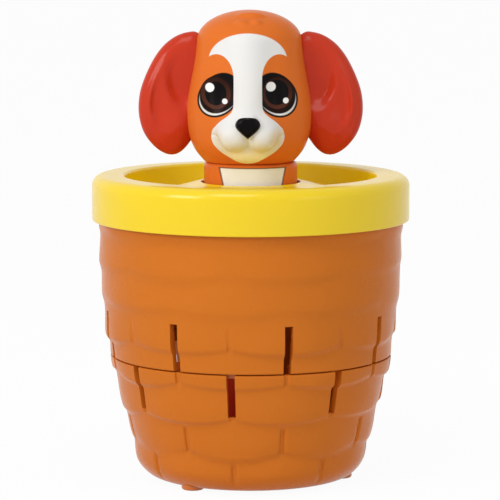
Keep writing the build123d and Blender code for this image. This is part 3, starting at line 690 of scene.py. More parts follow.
def relief_tree():
    """Woven relief: staggered rows of bricks whose lower edges hang down over the row below."""
    numbers = (
        "Row height", "First row top", "Bricks", "Joint turn", "Joint width", "Edge dip", "Swelling", "Groove",
        "Uneven", "Seed", "Quiet", "Quiet from", "Quiet to", "Fade from", "Fade to",
    )
    inputs = [("Geometry", "Geometry", None)]
    inputs += [(name, "Float", 0.0) for name in numbers]
    inputs += [("Finish", "Material", None)]
    tree, given, result = new_group("Woven relief", "GeometryNodeTree", inputs, (("Geometry", "Geometry"),))
    here = place(tree, "GeometryNodeInputPosition").outputs[0]
    axes = place(tree, "ShaderNodeSeparateXYZ", (here,)).outputs
    angle = calc(tree, "ARCTAN2", axes["X"], calc(tree, "MULTIPLY", axes["Y"], -1.0))
    bricks = calc(tree, "DIVIDE", given["Bricks"], 2 * math.pi)
    turn = calc(tree, "MULTIPLY", calc(tree, "SUBTRACT", angle, given["Joint turn"]), bricks)
    rise = calc(tree, "DIVIDE", calc(tree, "SUBTRACT", axes["Z"], given["First row top"]), given["Row height"])
    dip_share = calc(tree, "DIVIDE", given["Edge dip"], given["Row height"])

    def count_off(row):
        """Bricks counted off along a row, from its first joint."""
        stagger = calc(tree, "MULTIPLY", calc(tree, "FLOORED_MODULO", row, 2.0), 0.5)
        return calc(tree, "SUBTRACT", turn, stagger)

    def across(row):
        """Place across a brick of a row, from -1 at one joint to 1 at the next."""
        return calc(tree, "MULTIPLY_ADD", calc(tree, "FRACT", count_off(row)), 2.0, -1.0)

    def chance(row, shift):
        """A brick's own factor, about 1."""
        brick = calc(tree, "FLOORED_MODULO", calc(tree, "FLOOR", count_off(row)), given["Bricks"])
        spot = place(tree, "ShaderNodeCombineXYZ", (brick, row, calc(tree, "ADD", given["Seed"], shift))).outputs[0]
        noise = place(tree, "ShaderNodeTexWhiteNoise", {"Vector": spot}, noise_dimensions="3D").outputs["Value"]
        swing = calc(tree, "MULTIPLY", given["Uneven"], 2.0)
        return calc(tree, "MULTIPLY_ADD", calc(tree, "SUBTRACT", noise, 0.5), swing, 1.0)

    def hang(row):
        """How far the lower edge of a row hangs down here, as a share of the row's height."""
        place_across = across(row)
        bow = calc(tree, "SUBTRACT", 1.0, calc(tree, "MULTIPLY", place_across, place_across))
        return calc(tree, "MULTIPLY", calc(tree, "MULTIPLY", bow, dip_share), chance(row, 0.0))

    level = calc(tree, "FLOOR", rise)
    part = calc(tree, "SUBTRACT", rise, level)
    row = calc(tree, "ADD", level, 1.0)
    row_above = calc(tree, "ADD", row, 1.0)
    overlapped = calc(tree, "GREATER_THAN", part, calc(tree, "SUBTRACT", 1.0, hang(row_above)))
    row = calc(tree, "ADD", row, overlapped)
    part = calc(tree, "SUBTRACT", part, overlapped)
    sideways = calc(tree, "ABSOLUTE", across(row))
    below = hang(row)
    above = hang(calc(tree, "ADD", row, 1.0))
    span = calc(tree, "SUBTRACT", calc(tree, "ADD", 1.0, below), above)
    upward = calc(tree, "DIVIDE", calc(tree, "ADD", part, below), span)

    quiet = ease(tree, axes["Z"], given["Quiet from"], given["Quiet to"])
    ledge = ease(tree, upward, 0.0, calc(tree, "MULTIPLY_ADD", quiet, LEDGE_QUIET, LEDGE))
    tuck = ease(tree, upward, TUCK_FROM, 1.0, 1.0, 0.0)
    crown = ease(tree, sideways, CROWN_FROM, 1.0, 1.0, CROWN_SIDES)
    form = calc(tree, "MULTIPLY", calc(tree, "MULTIPLY", ledge, tuck), calc(tree, "MULTIPLY", crown, chance(row, 1.0)))
    swelling = calc(tree, "MULTIPLY", form, given["Swelling"])
    flat_place = place(tree, "ShaderNodeCombineXYZ", (axes["X"], axes["Y"], 0.0)).outputs[0]
    radius = place(tree, "ShaderNodeVectorMath", (flat_place,), operation="LENGTH").outputs["Value"]
    half_brick = calc(tree, "DIVIDE", radius, calc(tree, "MULTIPLY", bricks, 2.0))
    aside = calc(tree, "MULTIPLY", calc(tree, "SUBTRACT", 1.0, sideways), half_brick)
    joint = ease(tree, calc(tree, "DIVIDE", aside, given["Joint width"]), *JOINT_EDGE, 1.0, 0.0)
    joint = calc(tree, "MULTIPLY", joint, ease(tree, upward, 0.0, JOINT_LOW))
    joint = calc(tree, "MULTIPLY", joint, ease(tree, upward, 1.0, JOINT_HIGH))
    joint = calc(tree, "MULTIPLY", joint, calc(tree, "SUBTRACT", 1.0, quiet))
    height = calc(tree, "SUBTRACT", swelling, calc(tree, "MULTIPLY", joint, given["Groove"]))
    loud = calc(tree, "SUBTRACT", 1.0, calc(tree, "MULTIPLY", quiet, given["Quiet"]))
    fade = ease(tree, axes["Z"], given["Fade from"], given["Fade to"])
    skin = place(tree, "GeometryNodeInputNamedAttribute", ("skin",), data_type="FLOAT").outputs[0]
    share = calc(tree, "MULTIPLY", calc(tree, "MULTIPLY", loud, fade), skin)
    outward = place(tree, "ShaderNodeVectorMath", (flat_place,), operation="NORMALIZE").outputs[0]
    push = place(
        tree,
        "ShaderNodeVectorMath",
        {"Vector": outward, "Scale": calc(tree, "MULTIPLY", height, share)},
        operation="SCALE",
    ).outputs[0]
    moved = place(tree, "GeometryNodeSetPosition", {"Geometry": given["Geometry"], "Offset": push}).outputs[0]
    return finish_tree(tree, moved, given, result)


def woven_shell(name, levels, slot_angle, open_levels, tree, material, settings):
    """Mesh of one shell: its slotted wall, with the woven relief on the outside."""
    angles, in_slot = slot_columns(slot_angle, side_radius(sum(open_levels) / 2))
    heights = np.array([row[1] for row in levels])
    middles = (heights[:-1] + heights[1:]) / 2
    in_reach = (middles > open_levels[0]) & (middles < open_levels[1])
    points, faces = shell_faces(levels, angles, in_reach[:, None] & in_slot[None, :])
    mesh = raw_mesh(name, points, faces)
    skin = mesh.attributes.new("skin", "FLOAT", "POINT")
    on_outside = np.arange(len(points)) < len(points) // 2
    skin.data.foreach_set("value", on_outside.astype(float))
    made = grown(name, mesh, tree, {
        "Row height": ROW_HEIGHT * MM,
        "First row top": FIRST_ROW_TOP * MM,
        "Bricks": float(BRICKS),
        "Joint turn": math.radians(LOWER_SLOT_ANGLE),
        "Joint width": SLOT_WIDTH * MM,
        "Edge dip": settings.edge_dip,
        "Swelling": settings.swelling,
        "Groove": settings.groove,
        "Uneven": settings.uneven,
        "Seed": RELIEF_SEED,
        "Quiet": settings.quiet,
        "Quiet from": QUIET_FROM * MM,
        "Quiet to": QUIET_TO * MM,
        "Fade from": FADE_FROM * MM,
        "Fade to": FADE_TO * MM,
        "Finish": material,
    })
    mend(made)
    smooth(made, crease=50)
    return made


class POPUP_OT_basket_shells(bpy.types.Operator):
    """Make the two woven shells with their stick slots"""

    bl_idname = "popup.basket_shells"
    bl_label = "Basket Shells"

    def execute(self, context):
        settings = context.scene.popup_basket
        material = plastic("basket_orange", settings.orange, gloss=0.26, grain=0.7, mirror=0.11)
        tree = relief_tree()
        shells = (
            ("lower", lower_levels(), LOWER_SLOT_ANGLE, (LOWER_SLOT_BOTTOM, SEAM + PAST_SEAM)),
            ("upper", upper_levels(), UPPER_SLOT_ANGLE, (SEAM - PAST_SEAM, UPPER_SLOT_TOP)),
        )
        for half, levels, slot_angle, open_levels in shells:
            name = f"woven_{half}_shell"
            mesh = woven_shell(name, levels, slot_angle, open_levels, tree, material, settings)
            add_piece(name, mesh, material, "basket", (half + "_basket",))
        return {"FINISHED"}


def add_to_basket(name, mesh):
    """Show a further piece of the basket, in the finish of the shells."""
    smooth(mesh)
    add_piece(name, mesh, bpy.data.materials["basket_orange"], "basket")


class POPUP_OT_seam_lip(bpy.types.Operator):
    """Make the upper shell's lip inside the seam"""

    bl_idname = "popup.seam_lip"
    bl_label = "Seam Lip"

    def execute(self, context):
        angles, in_slot = slot_columns(UPPER_SLOT_ANGLE, SEAM_RADIUS)
        low = SEAM - LIP_DROP
        outer = side_radius(low) - WALL - LIP_CLEARANCE
        inner = outer - LIP_THICKNESS
        bond = SEAM_RADIUS - WALL + BOND
        profile = ((outer, low), (outer, SEAM), (bond, SEAM + LIP_STEP), (bond, SEAM + LIP_RISE))
        levels = [(radius, height, inner, height) for radius, height in profile]
        left_out = np.repeat(in_slot[None, :], len(levels) - 1, axis=0)
        add_to_basket("seam_lip", new_mesh("seam_lip", *shell_faces(levels, angles, left_out)))
        return {"FINISHED"}


def ring_tree():
    """Copies of a starting shape, spread evenly on a level circle about the axis."""
    if "Ring of copies" in bpy.data.node_groups:
        return bpy.data.node_groups["Ring of copies"]
    inputs = (
        ("Geometry", "Geometry", None),
        ("Count", "Int", 3),
        ("Circle", "Float", 0.04),
        ("First angle", "Float", 0.0),
        ("Finish", "Material", None),
    )
    tree, given, result = new_group("Ring of copies", "GeometryNodeTree", inputs, (("Geometry", "Geometry"),))
    spots = place(tree, "GeometryNodeMeshCircle", {"Vertices": given["Count"], "Radius": given["Circle"]}).outputs[0]
    spin = place(tree, "ShaderNodeCombineXYZ", (0.0, 0.0, given["First angle"])).outputs[0]
    here = place(tree, "GeometryNodeInputPosition").outputs[0]
    axes = place(tree, "ShaderNodeSeparateXYZ", (here,)).outputs
    bearing = calc(tree, "ADD", calc(tree, "ARCTAN2", axes["Y"], axes["X"]), math.pi / 2)
    facing = place(tree, "ShaderNodeCombineXYZ", (0.0, 0.0, bearing)).outputs[0]
    spots = place(tree, "GeometryNodeTransform", {"Geometry": spots, "Rotation": spin}).outputs[0]
    copies = place(
        tree,
        "GeometryNodeInstanceOnPoints",
        {"Points": spots, "Instance": given["Geometry"], "Rotation": facing},
    ).outputs[0]
    return finish_tree(tree, copies, given, result)


def turned_solid(name, outline, segments=48):
    """Mesh of a solid turned from an outline that starts and ends on the axis."""
    points, faces = lathe(outline, segments)
    count = len(outline)
    faces = [face for number, face in enumerate(faces) if number % count != count - 1]
    return new_mesh(name, points, faces)


def ring_of(name, mesh, count, circle, angle):
    """Copies of a starting shape on a circle, the first at an angle in degrees from the front."""
    return grown(name, mesh, ring_tree(), {
        "Count": count,
        "Circle": circle * MM,
        "First angle": math.radians(angle - 90),
        "Finish": bpy.data.materials["basket_orange"],
    })


def trimmed(mesh, room):
    """The part of a mesh that lies inside another mesh."""
    base, tool = (show(each.name + "_trim", each) for each in (mesh, room))
    modifier = base.modifiers.new("Trim", "BOOLEAN")
    modifier.operation = "INTERSECT"
    modifier.solver = "EXACT"
    modifier.object = tool
    made = settled(base)
    bpy.data.objects.remove(tool)
    return made


# Faces of a box whose lower four corners come first
BOX_FACES = [(3, 2, 1, 0), (4, 5, 6, 7), (0, 1, 5, 4), (1, 2, 6, 5), (2, 3, 7, 6), (3, 0, 4, 7)]


def lower_posts():
    """Posts of the lower shell with the screws' wells, trimmed where the shell is rounded."""
    low = FLOOR_TOP - BOND
    seat = SEAM - POST_SEAT
    outline = [(0.0, low), (POST_RADIUS, low), (POST_RADIUS, SEAM), (HOLE_RADIUS, SEAM), (HOLE_RADIUS, seat)]
    outline += [(WELL_RADIUS, seat), (WELL_RADIUS, FLOOR_TOP), (0.0, FLOOR_TOP)]
    posts = ring_of("lower_posts", turned_solid("lower_post", outline), *POST_RING)
    heights = np.linspace(low - ROOM_SPARE, SEAM + ROOM_SPARE, ROOM_ROWS)
    room = [(side_radius(height) - ROOM_INSET, height) for height in heights]
    room = [(0.0, heights[0])] + room + [(0.0, heights[-1])]
    return trimmed(posts, turned_solid("shell_room", room, segments=96))


def upper_posts():
    """Posts of the upper shell with the screws' pilot holes."""
    top, bore = SEAM + POST_RISE, SEAM + PILOT_DEPTH
    outline = [(0.0, bore), (PILOT_RADIUS, bore), (PILOT_RADIUS, SEAM)]
    outline += [(POST_RADIUS, SEAM), (POST_RADIUS, top), (0.0, top)]
    return ring_of("upper_posts", turned_solid("upper_post", outline), *POST_RING)


def post_webs():
    """Webs that tie the upper posts to the shell."""
    half = WEB_THICKNESS / 2
    outer, inner = POST_CIRCLE - SEAM_RADIUS + WALL - WEB_BITE, WEB_END - POST_RADIUS
    plan = ((-half, outer), (half, outer), (half, inner), (-half, inner))
    heights = (SEAM + LIP_RISE, SEAM + POST_RISE - WEB_DROP)
    corners = [(across, away, height) for height in heights for across, away in plan]
    return ring_of("post_webs", new_mesh("post_web", corners, BOX_FACES), *POST_RING)


def floor_bearing():
    """Spigot and thrust ring on the floor, for the launcher to turn on."""
    low, ring, spigot = (FLOOR_TOP + rise for rise in (-BOND, THRUST_HEIGHT, SPIGOT_HEIGHT))
    outline = [(0.0, low), (THRUST_OUTER, low), (THRUST_OUTER, ring), (THRUST_INNER, ring)]
    outline += [(THRUST_INNER, FLOOR_TOP), (SPIGOT_RADIUS, FLOOR_TOP), (SPIGOT_RADIUS, spigot), (0.0, spigot)]
    return turned_solid("floor_bearing", outline, segments=96)


class POPUP_OT_screw_posts(bpy.types.Operator):
    """Make the posts that the shells' screws go through, and the launcher's bearing on the floor"""

    bl_idname = "popup.screw_posts"
    bl_label = "Screw Posts"

    def execute(self, context):
        for make in (lower_posts, upper_posts, post_webs, floor_bearing):
            add_to_basket(make.__name__, make())
        return {"FINISHED"}


class POPUP_OT_basket_feet(bpy.types.Operator):
    """Make the ring of moulded feet under the basket"""

    bl_idname = "popup.basket_feet"
    bl_label = "Basket Feet"

    def execute(self, context):
        outline = [(0.0, 0.0)] + arc((FOOT_RADIUS - FOOT_ROUND, FOOT_ROUND), FOOT_ROUND, -90, 0, 6)
        outline += [(FOOT_RADIUS, FOOT_TOP), (0.0, FOOT_TOP)]
        add_to_basket("basket_feet", ring_of("basket_feet", turned_solid("foot", outline), *FOOT_RING))
        return {"FINISHED"}


def rim_material(settings):
    """Moulded yellow, with painted light inside the rim: a brighter yellow that stands in for light coming through its
    walls.
    """
    material, tree, shader = empty_material("rim_yellow", mirror=0.4)
    axes = front_spot(tree)
    level = place(tree, "ShaderNodeCombineXYZ", (axes["X"], axes["Y"], 0.0)).outputs[0]
    radius = place(tree, "ShaderNodeVectorMath", (level,), operation="LENGTH").outputs["Value"]
    # Painted light: towards the recess the yellow turns to the brighter glow yellow
    inside = ease(tree, radius, *RECESS_EDGE, 1.0, 0.0)
    colour = blend(tree, inside, opaque(settings.yellow), opaque(settings.deep_yellow))
    moulded(tree, shader, colour, tone=0.03, gloss=0.22, grain=0.1)
    return material


class POPUP_OT_rim_band(bpy.types.Operator):
    """Make the rolled rim with its deck"""

    bl_idname = "popup.rim_band"
    bl_label = "Rim Band"

    def execute(self, context):
        material = rim_material(context.scene.popup_basket)
        skirt = RIM_RADIUS - RIM_WALL
        fall = (DECK_EDGE - DECK_NECK) / (RIM_INNER - NECK_RADIUS)
        slope = math.degrees(math.atan(fall))
        under = DECK_NECK - DECK_THICKNESS + fall * NECK_WALL
        outline = arc((HOOD_RADIUS + INNER_ROUND, DECK_NECK - INNER_ROUND), INNER_ROUND, 180, 90, 4)
        outline += [(NECK_RADIUS, DECK_NECK)]
        outline += arc((RIM_INNER - RECESS_ROUND, DECK_EDGE + DECK_RISE), RECESS_ROUND, slope - 90, 0, 6)
        outline += arc((RIM_INNER + RECESS_ROUND, RIM_TOP - RECESS_ROUND), RECESS_ROUND, 180, 90, 8)
        outline += arc((RIM_RADIUS - RIM_CORNER, RIM_TOP - RIM_CORNER), RIM_CORNER, 90, 0, 16)
        outline += arc((RIM_RADIUS - SKIRT_ROUND, RIM_BOTTOM + SKIRT_ROUND), SKIRT_ROUND, 0, -90, 5)
        outline += arc((skirt + INNER_ROUND, RIM_BOTTOM + INNER_ROUND), INNER_ROUND, -90, -180, 3)
        outline += [(skirt, COLLAR_TOP), (RIM_INNER + RIM_WALL, COLLAR_TOP)]
        outline += [(RIM_INNER + RIM_WALL, DECK_EDGE - DECK_THICKNESS), (NECK_RADIUS + NECK_WALL, under)]
        outline += [(NECK_RADIUS + NECK_WALL, NECK_LOW), (NECK_RADIUS, NECK_LOW)]
        outline += [(NECK_RADIUS, HOOD_LOW), (HOOD_RADIUS, HOOD_LOW)]
        mesh = new_mesh("rim_band", *lathe(outline))
        smooth(mesh)
        add_piece("rim_band", mesh, material, "basket", ("rim_deck",))
        return {"FINISHED"}


# Puppy

# The head without its muzzle: height, half width, and depth to the front and to the back
HEAD_ROWS = np.array((
    (135.5, 18.8, 18.4, 18.4),
    (140.1, 22.6, 22.8, 21.2),
    (148.5, 25.9, 24.8, 24.3),
    (157.5, 26.6, 25.0, 25.6),
    (168.5, 25.0, 24.2, 25.6),
    (178.5, 23.2, 23.0, 24.8),
    (186.7, 22.2, 21.6, 23.4),
))
CROWN_SPARE = 0.05
DOME_HEIGHT = CROWN - HEAD_ROWS[-1, 0] - CROWN_SPARE
# Rays that find the head's surface: cells along an edge of the cube, lean towards the face, and length
HEAD_CELLS = 116
HEAD_LEAN = (0.0, -0.35, 0.0)
HEAD_FAR = 60.0
# Forms of the head: middle and half size of an egg, or ends and radius of a round bar
EYE_HOLLOW = ((13.4, -27.6, 165.5), (10.0, 7.0, 11.5))
JAW = ((0.0, -16.5, 147.0), (15.4, 10.5, 10.8))
JAW_TOP = 148.3
BRIDGE = ((0.0, -16.8, 184.0), (0.0, -22.5, 156.0), 6.4)
PADS = [((side * 5.4, -24.2, 148.4), (7.0, 6.9, 6.9)) for side in (-1, 1)]
PADS_LOW = 145.5
PADS_BLEND = 5.5
MOUTH_CORNER = ((11.4, -25.4, 147.2), (15.2, -20.6, 148.4), 0.6)
NOSE_MIDDLE = -27.0
NOSE_DEPTH = 6.0
# How softly each form runs into the head, and the pads, the bridge and the head into each other
SOFT = {
    "hollow": 2.5, "jaw top": 0.6, "jaw": 0.7, "corner": 0.4, "nose edge": 2.6, "nose": 0.5, "tuft": 1.0, "neck": 0.8,
}
SOFT_ABOVE = (5.0, 5.0, 6.0)
SOFT_BELOW = (0.4, 3.0, 0.6)
# Least divisor, and the lean of the nose's sides
TINY = 1e-6
NOSE_LEAN = 0.75
# Nose outline: height and half width
NOSE_ROWS = (
    (147.4, 0.0), (147.9, 0.5), (148.9, 1.65), (150.7, 3.65), (151.6, 4.42), (152.4, 4.9), (153.1, 5.1), (153.9, 4.95),
    (154.7, 4.55), (155.2, 4.15), (155.7, 3.6), (156.1, 2.8), (156.4, 0.0),
)
# Locks of the tuft on the crown: middle and half size
TUFT = (
    ((0.8, -10.2, 197.0), (6.2, 3.2, 2.2)),
    ((-2.8, -16.2, 194.4), (3.2, 1.9, 1.6)),
    ((3.0, -15.8, 194.8), (2.6, 1.9, 1.6)),
)
# Outline of the white muzzle and the stripe above it: height and half width
MUZZLE_ROWS = (
    (136.2, 0.0), (137.0, 4.2), (138.0, 6.0), (139.4, 8.3), (141.3, 11.2), (143.0, 13.1), (145.2, 14.7), (147.5, 15.3),
    (150.2, 14.85), (152.3, 13.4), (154.0, 11.8), (155.5, 9.9), (157.0, 8.0), (158.5, 6.7), (160.0, 6.15),
    (164.0, 5.95), (168.0, 5.9), (172.5, 5.9),
)
# Painted shade, tan, under the whisker pads and at the corners of the mouth, darkest at the right corner: middle, half
# size and strength
MUZZLE_PAINTED_SHADES = (
    ((-7.0, 142.4), (5.6, 2.2), 0.45),
    ((4.6, 142.4), (5.6, 2.2), 0.45),
    ((-13.6, 147.0), (1.6, 3.0), 0.35),
    ((10.6, 147.0), (2.5, 4.0), 0.65),
)
# Tan of the painted shade
PAINTED_SHADE_TINT = (0.95, 0.76, 0.45, 1.0)
# White cap on the forehead, with the heights where it ends, the orange brows that cut into it, and the chin's painted
# light, a brighter white where the chin faces down
CAP = ((FACE_MIDDLE, 179.2), (16.4, 11.5))
CAP_LOW = (172.0, 172.3)
BROWS = [((FACE_MIDDLE + side, 172.0), (7.1, 9.95)) for side in (-13.0, 13.0)]
CHIN_LIGHT = ((FACE_MIDDLE, 138.8), (9.0, 3.0))
CAP_SOFT = 0.015
CHIN_LIGHT_SOFT = 0.6
# Softness of the painted shade's edges
PAINTED_SHADE_SOFT = 0.7
# Places from back to front where the face's paint and the nose's begin
PAINT_FROM = (-4.0, -6.0)
NOSE_FROM = (-24.0, -26.0)
# Widths of the painted shade along the line where the halves of the head meet, for the shadow in their seam
PARTING = (0.06, 0.2)
PARTING_STRENGTH = 0.7
PARTING_SHADE = 0.3
# How far the nose's paint spreads past its outline, and how much glossier it is
NOSE_SPREAD = 0.15
NOSE_GLOSS = 0.08


def smooth_rows(rows, heights):
    """Columns of a table of rows, carried smoothly to other heights."""
    known = rows[:, 0]
    slopes = np.gradient(rows[:, 1:], known, axis=0)
    at = np.clip(np.searchsorted(known, heights) - 1, 0, len(known) - 2)
    gap = (known[at + 1] - known[at])[:, None]
    share = ((np.clip(heights, known[0], known[-1]) - known[at])[:, None]) / gap
    low, high = rows[at, 1:], rows[at + 1, 1:]
    start = share * (1 - share) ** 2 * gap * slopes[at]
    end = share * share * (share - 1) * gap * slopes[at + 1]
    return low + (high - low) * eased(share) + start + end


def join(first, second, soft):
    """Smooth union of two forms."""
    share = np.clip(0.5 + 0.5 * (second - first) / soft, 0, 1)
    return second + (first - second) * share - soft * share * (1 - share)


def meet(first, second, soft):
    """Smooth meeting of two forms, inside both."""
    return -join(-first, -second, soft)


def egg(points, middle, size):
    """Form of an ellipsoid: about the distance from its surface."""
    offset = (points - np.array(middle)) / np.array(size)
    reach = np.linalg.norm(offset, axis=1)
    return (reach - 1) * np.linalg.norm(points - np.array(middle), axis=1) / np.maximum(reach, TINY)


def capsule(points, start, end, radius):
    """Form of a round bar between two points."""
    start, end = np.array(start), np.array(end)
    along = end - start
    share = np.clip((points - start) @ along / (along @ along), 0, 1)
    return np.linalg.norm(points - start - share[:, None] * along, axis=1) - radius


def nose_outline(across, height):
    """About the distance from the outline of the rounded, three-cornered nose, seen from the front."""
    rows, halves = np.array(NOSE_ROWS).T
    beyond = np.maximum(np.maximum(rows[0] - height, height - rows[-1]), 0)
    return NOSE_LEAN * (np.abs(across) - np.interp(height, rows, halves)) + beyond


def head_form(points):
    """The head: below nothing inside, above nothing outside."""
    across, forward, height = points.T
    width, front, back = smooth_rows(HEAD_ROWS, height).T
    deep = np.where(forward < 0, front, back)
    over = np.maximum(height - HEAD_ROWS[-1, 0], 0) / DOME_HEIGHT
    reach = np.sqrt((across / width) ** 2 + (forward / deep) ** 2 + over ** 2)
    flat = np.sqrt(across ** 2 + forward ** 2 + (over * DOME_HEIGHT) ** 2)
    form = flat * (1 - 1 / np.maximum(reach, TINY))
    halves = np.stack((np.abs(across), forward, height), axis=1)
    form = meet(form, -egg(halves, *EYE_HOLLOW), SOFT["hollow"])
    jaw = meet(egg(points, *JAW), height - JAW_TOP, SOFT["jaw top"])
    form = join(form, jaw, SOFT["jaw"])
    bridge = capsule(points, *BRIDGE)
    pads = [egg(points, *pad) for pad in PADS]
    upper, lower = (
        join(form, join(bridge, join(*pads, pad_soft), bridge_soft), head_soft)
        for pad_soft, bridge_soft, head_soft in (SOFT_ABOVE, SOFT_BELOW)
    )
    form = lower + (upper - lower) * eased(np.clip((height - PADS_LOW) / PADS_BLEND, 0, 1))
    form = meet(form, -capsule(halves, *MOUTH_CORNER), SOFT["corner"])
    nose = meet(nose_outline(across, height), np.abs(forward - NOSE_MIDDLE) - NOSE_DEPTH, SOFT["nose edge"])
    form = join(form, nose, SOFT["nose"])
    for lock in TUFT:
        form = join(form, egg(points, *lock), SOFT["tuft"])
    return meet(form, NECK - height, SOFT["neck"])


def cube_sphere(count, lean):
    """Directions spread over a sphere, closer together where they lean, and the faces between them."""
    steps = np.tan(np.linspace(-1, 1, count + 1) * math.pi / 4)
    first, second = np.meshgrid(steps, steps, indexing="ij")
    level = np.ones_like(first)
    sheets = []
    for axis in range(3):
        for sign in (-1, 1):
            parts = [first, second]
            parts.insert(axis, sign * level)
            sheets.append(np.stack(parts, axis=2).reshape(-1, 3))
    points = np.concatenate(sheets)
    points /= np.linalg.norm(points, axis=1)[:, None]
    points += np.array(lean)
    points /= np.linalg.norm(points, axis=1)[:, None]
    faces = []
    side = count + 1
    for sheet in range(6):
        for row in range(count):
            base = sheet * side * side + row * side
            for column in range(count):
                corner = base + column
                faces.append((corner, corner + 1, corner + side + 1, corner + side))
    return points, faces


def cast_form(form, centre, directions, far, steps=90, halvings=16):
    """Outermost points of a form along rays from its centre, found in steps and then by halving the last one."""
    centre = np.array(centre)
    reach = np.full(len(directions), far)
    found = np.zeros(len(directions), bool)
    stride = far / steps
    for step in range(steps, 0, -1):
        looking = np.where(~found)[0]
        distance = step * stride
        inside = form(centre + directions[looking] * distance) < 0
        reach[looking[inside]] = distance
        found[looking[inside]] = True
    low, high = reach.copy(), reach + stride
    for _ in range(halvings):
        middle = (low + high) / 2
        inside = form(centre + directions * middle[:, None]) < 0
        low = np.where(inside, middle, low)
        high = np.where(inside, high, middle)
    return centre + directions * ((low + high) / 2)[:, None]


def turned(points, angle):
    """Points turned about the axis, degrees from the front towards +X."""
    turn = math.radians(angle)
    across, forward, height = np.asarray(points).T
    return np.stack((
        across * math.cos(turn) - forward * math.sin(turn),
        across * math.sin(turn) + forward * math.cos(turn),
        height,
    ), axis=1)


def oval(tree, spot, middle, size, tilt=0.0, softness=0.03):
    """Mask of a painted oval, its tilt in degrees."""
    values = (*spot, *middle, *size, math.radians(tilt), softness)
    return place(tree, "ShaderNodeGroup", values, node_tree=oval_group()).outputs[0]


# Half the softness of a painted edge
PAINT_SOFT = 0.14


def drawn(tree, spot, rows, spread=0.0):
    """Mask of a painted shape that is even about the middle of the face, from its half widths."""
    low, high = rows[0][0], rows[-1][0]
    widest = max(half for _, half in rows)
    share = place(tree, "ShaderNodeMapRange", (spot[1], low, high, 0.0, 1.0)).outputs[0]
    node = place(tree, "ShaderNodeFloatCurve", {"Value": share})
    points = node.mapping.curves[0].points
    points[0].location = (0.0, rows[0][1] / widest)
    points[1].location = (1.0, rows[-1][1] / widest)
    for height, half in rows[1:-1]:
        points.new((height - low) / (high - low), half / widest)
    node.mapping.update()
    half = calc(tree, "MULTIPLY", node.outputs[0], widest)
    aside = calc(tree, "ABSOLUTE", calc(tree, "SUBTRACT", spot[0], FACE_MIDDLE))
    inside = ease(tree, calc(tree, "SUBTRACT", aside, half), spread - PAINT_SOFT, spread + PAINT_SOFT, 1.0, 0.0)
    inside = calc(tree, "MULTIPLY", inside, calc(tree, "GREATER_THAN", spot[1], low))
    return calc(tree, "MULTIPLY", inside, calc(tree, "LESS_THAN", spot[1], high))


# Layers of each eye: middle across and up, half width, half height and tilt. Lights: middle and radius
LEFT_EYE = {
    "outline": (-13.5, 164.7, 9.9, 7.85, 46),
    "white": (-13.45, 164.75, 9.1, 7.05, 46),
    "lid": (-12.95, 165.9, 9.45, 7.4, 46),
    "rim": (-14.3, 165.3, 6.9, 7.6, 0),
    "ring": (-14.5, 165.7, 6.2, 6.5, 0),
    "pupil": (-14.6, 165.7, 4.5, 4.95, 0),
    "lights": ((-17.1, 168.1, 1.9), (-10.8, 162.5, 1.15)),
}
RIGHT_EYE = {
    "outline": (11.0, 164.75, 9.7, 8.0, 131),
    "white": (10.95, 164.8, 8.9, 7.2, 131),
    "lid": (10.45, 165.95, 9.25, 7.55, 131),
    "rim": (11.45, 165.3, 6.9, 7.6, 0),
    "ring": (11.25, 165.8, 6.15, 6.5, 0),
    "pupil": (10.95, 166.2, 4.85, 5.25, 0),
    "lights": ((8.4, 168.65, 2.0), (14.65, 162.75, 1.2)),
}
EYE_LIGHT = (0.9, 0.9, 0.9, 1.0)
EYE_LIGHT_SOFT = 0.1
# Shares of the eyes' brown, at the ring's edge, its top and its bottom
BROWN_SHARES = (0.2, 0.45, 1.2)


def paint_eye(tree, colour, spot, eye, settings):
    """Lay one eye over a colour."""
    _, middle, _, half, _ = eye["ring"]
    light = ease(tree, spot[1], middle + half, middle - half)
    edge_brown, dark_brown, pale_brown = (
        opaque([share * value for value in settings.brown]) for share in BROWN_SHARES
    )
    layers = {
        "outline": opaque(settings.black),
        "white": opaque(settings.white),
        "lid": opaque(settings.black),
        "rim": edge_brown,
        "ring": blend(tree, light, dark_brown, pale_brown),
        "pupil": opaque(settings.black),
    }
    for layer, paint in layers.items():
        *shape, tilt = eye[layer]
        colour = blend(tree, oval(tree, spot, shape[:2], shape[2:], tilt), colour, paint)
    for across, height, radius in eye["lights"]:
        shape = oval(tree, spot, (across, height), (radius, radius), softness=EYE_LIGHT_SOFT)
        colour = blend(tree, shape, colour, EYE_LIGHT)
    return colour


def blaze_mask(tree, spot):
    """Mask of the white blaze: a cap on the forehead, a stripe down the bridge and the muzzle."""
    cap = oval(tree, spot, *CAP, softness=CAP_SOFT)
    for brow in BROWS:
        left = calc(tree, "SUBTRACT", 1.0, oval(tree, spot, *brow, softness=CAP_SOFT))
        cap = calc(tree, "MULTIPLY", cap, left)
    cap = calc(tree, "MULTIPLY", cap, ease(tree, spot[1], *CAP_LOW))
    return calc(tree, "MAXIMUM", cap, drawn(tree, spot, MUZZLE_ROWS))


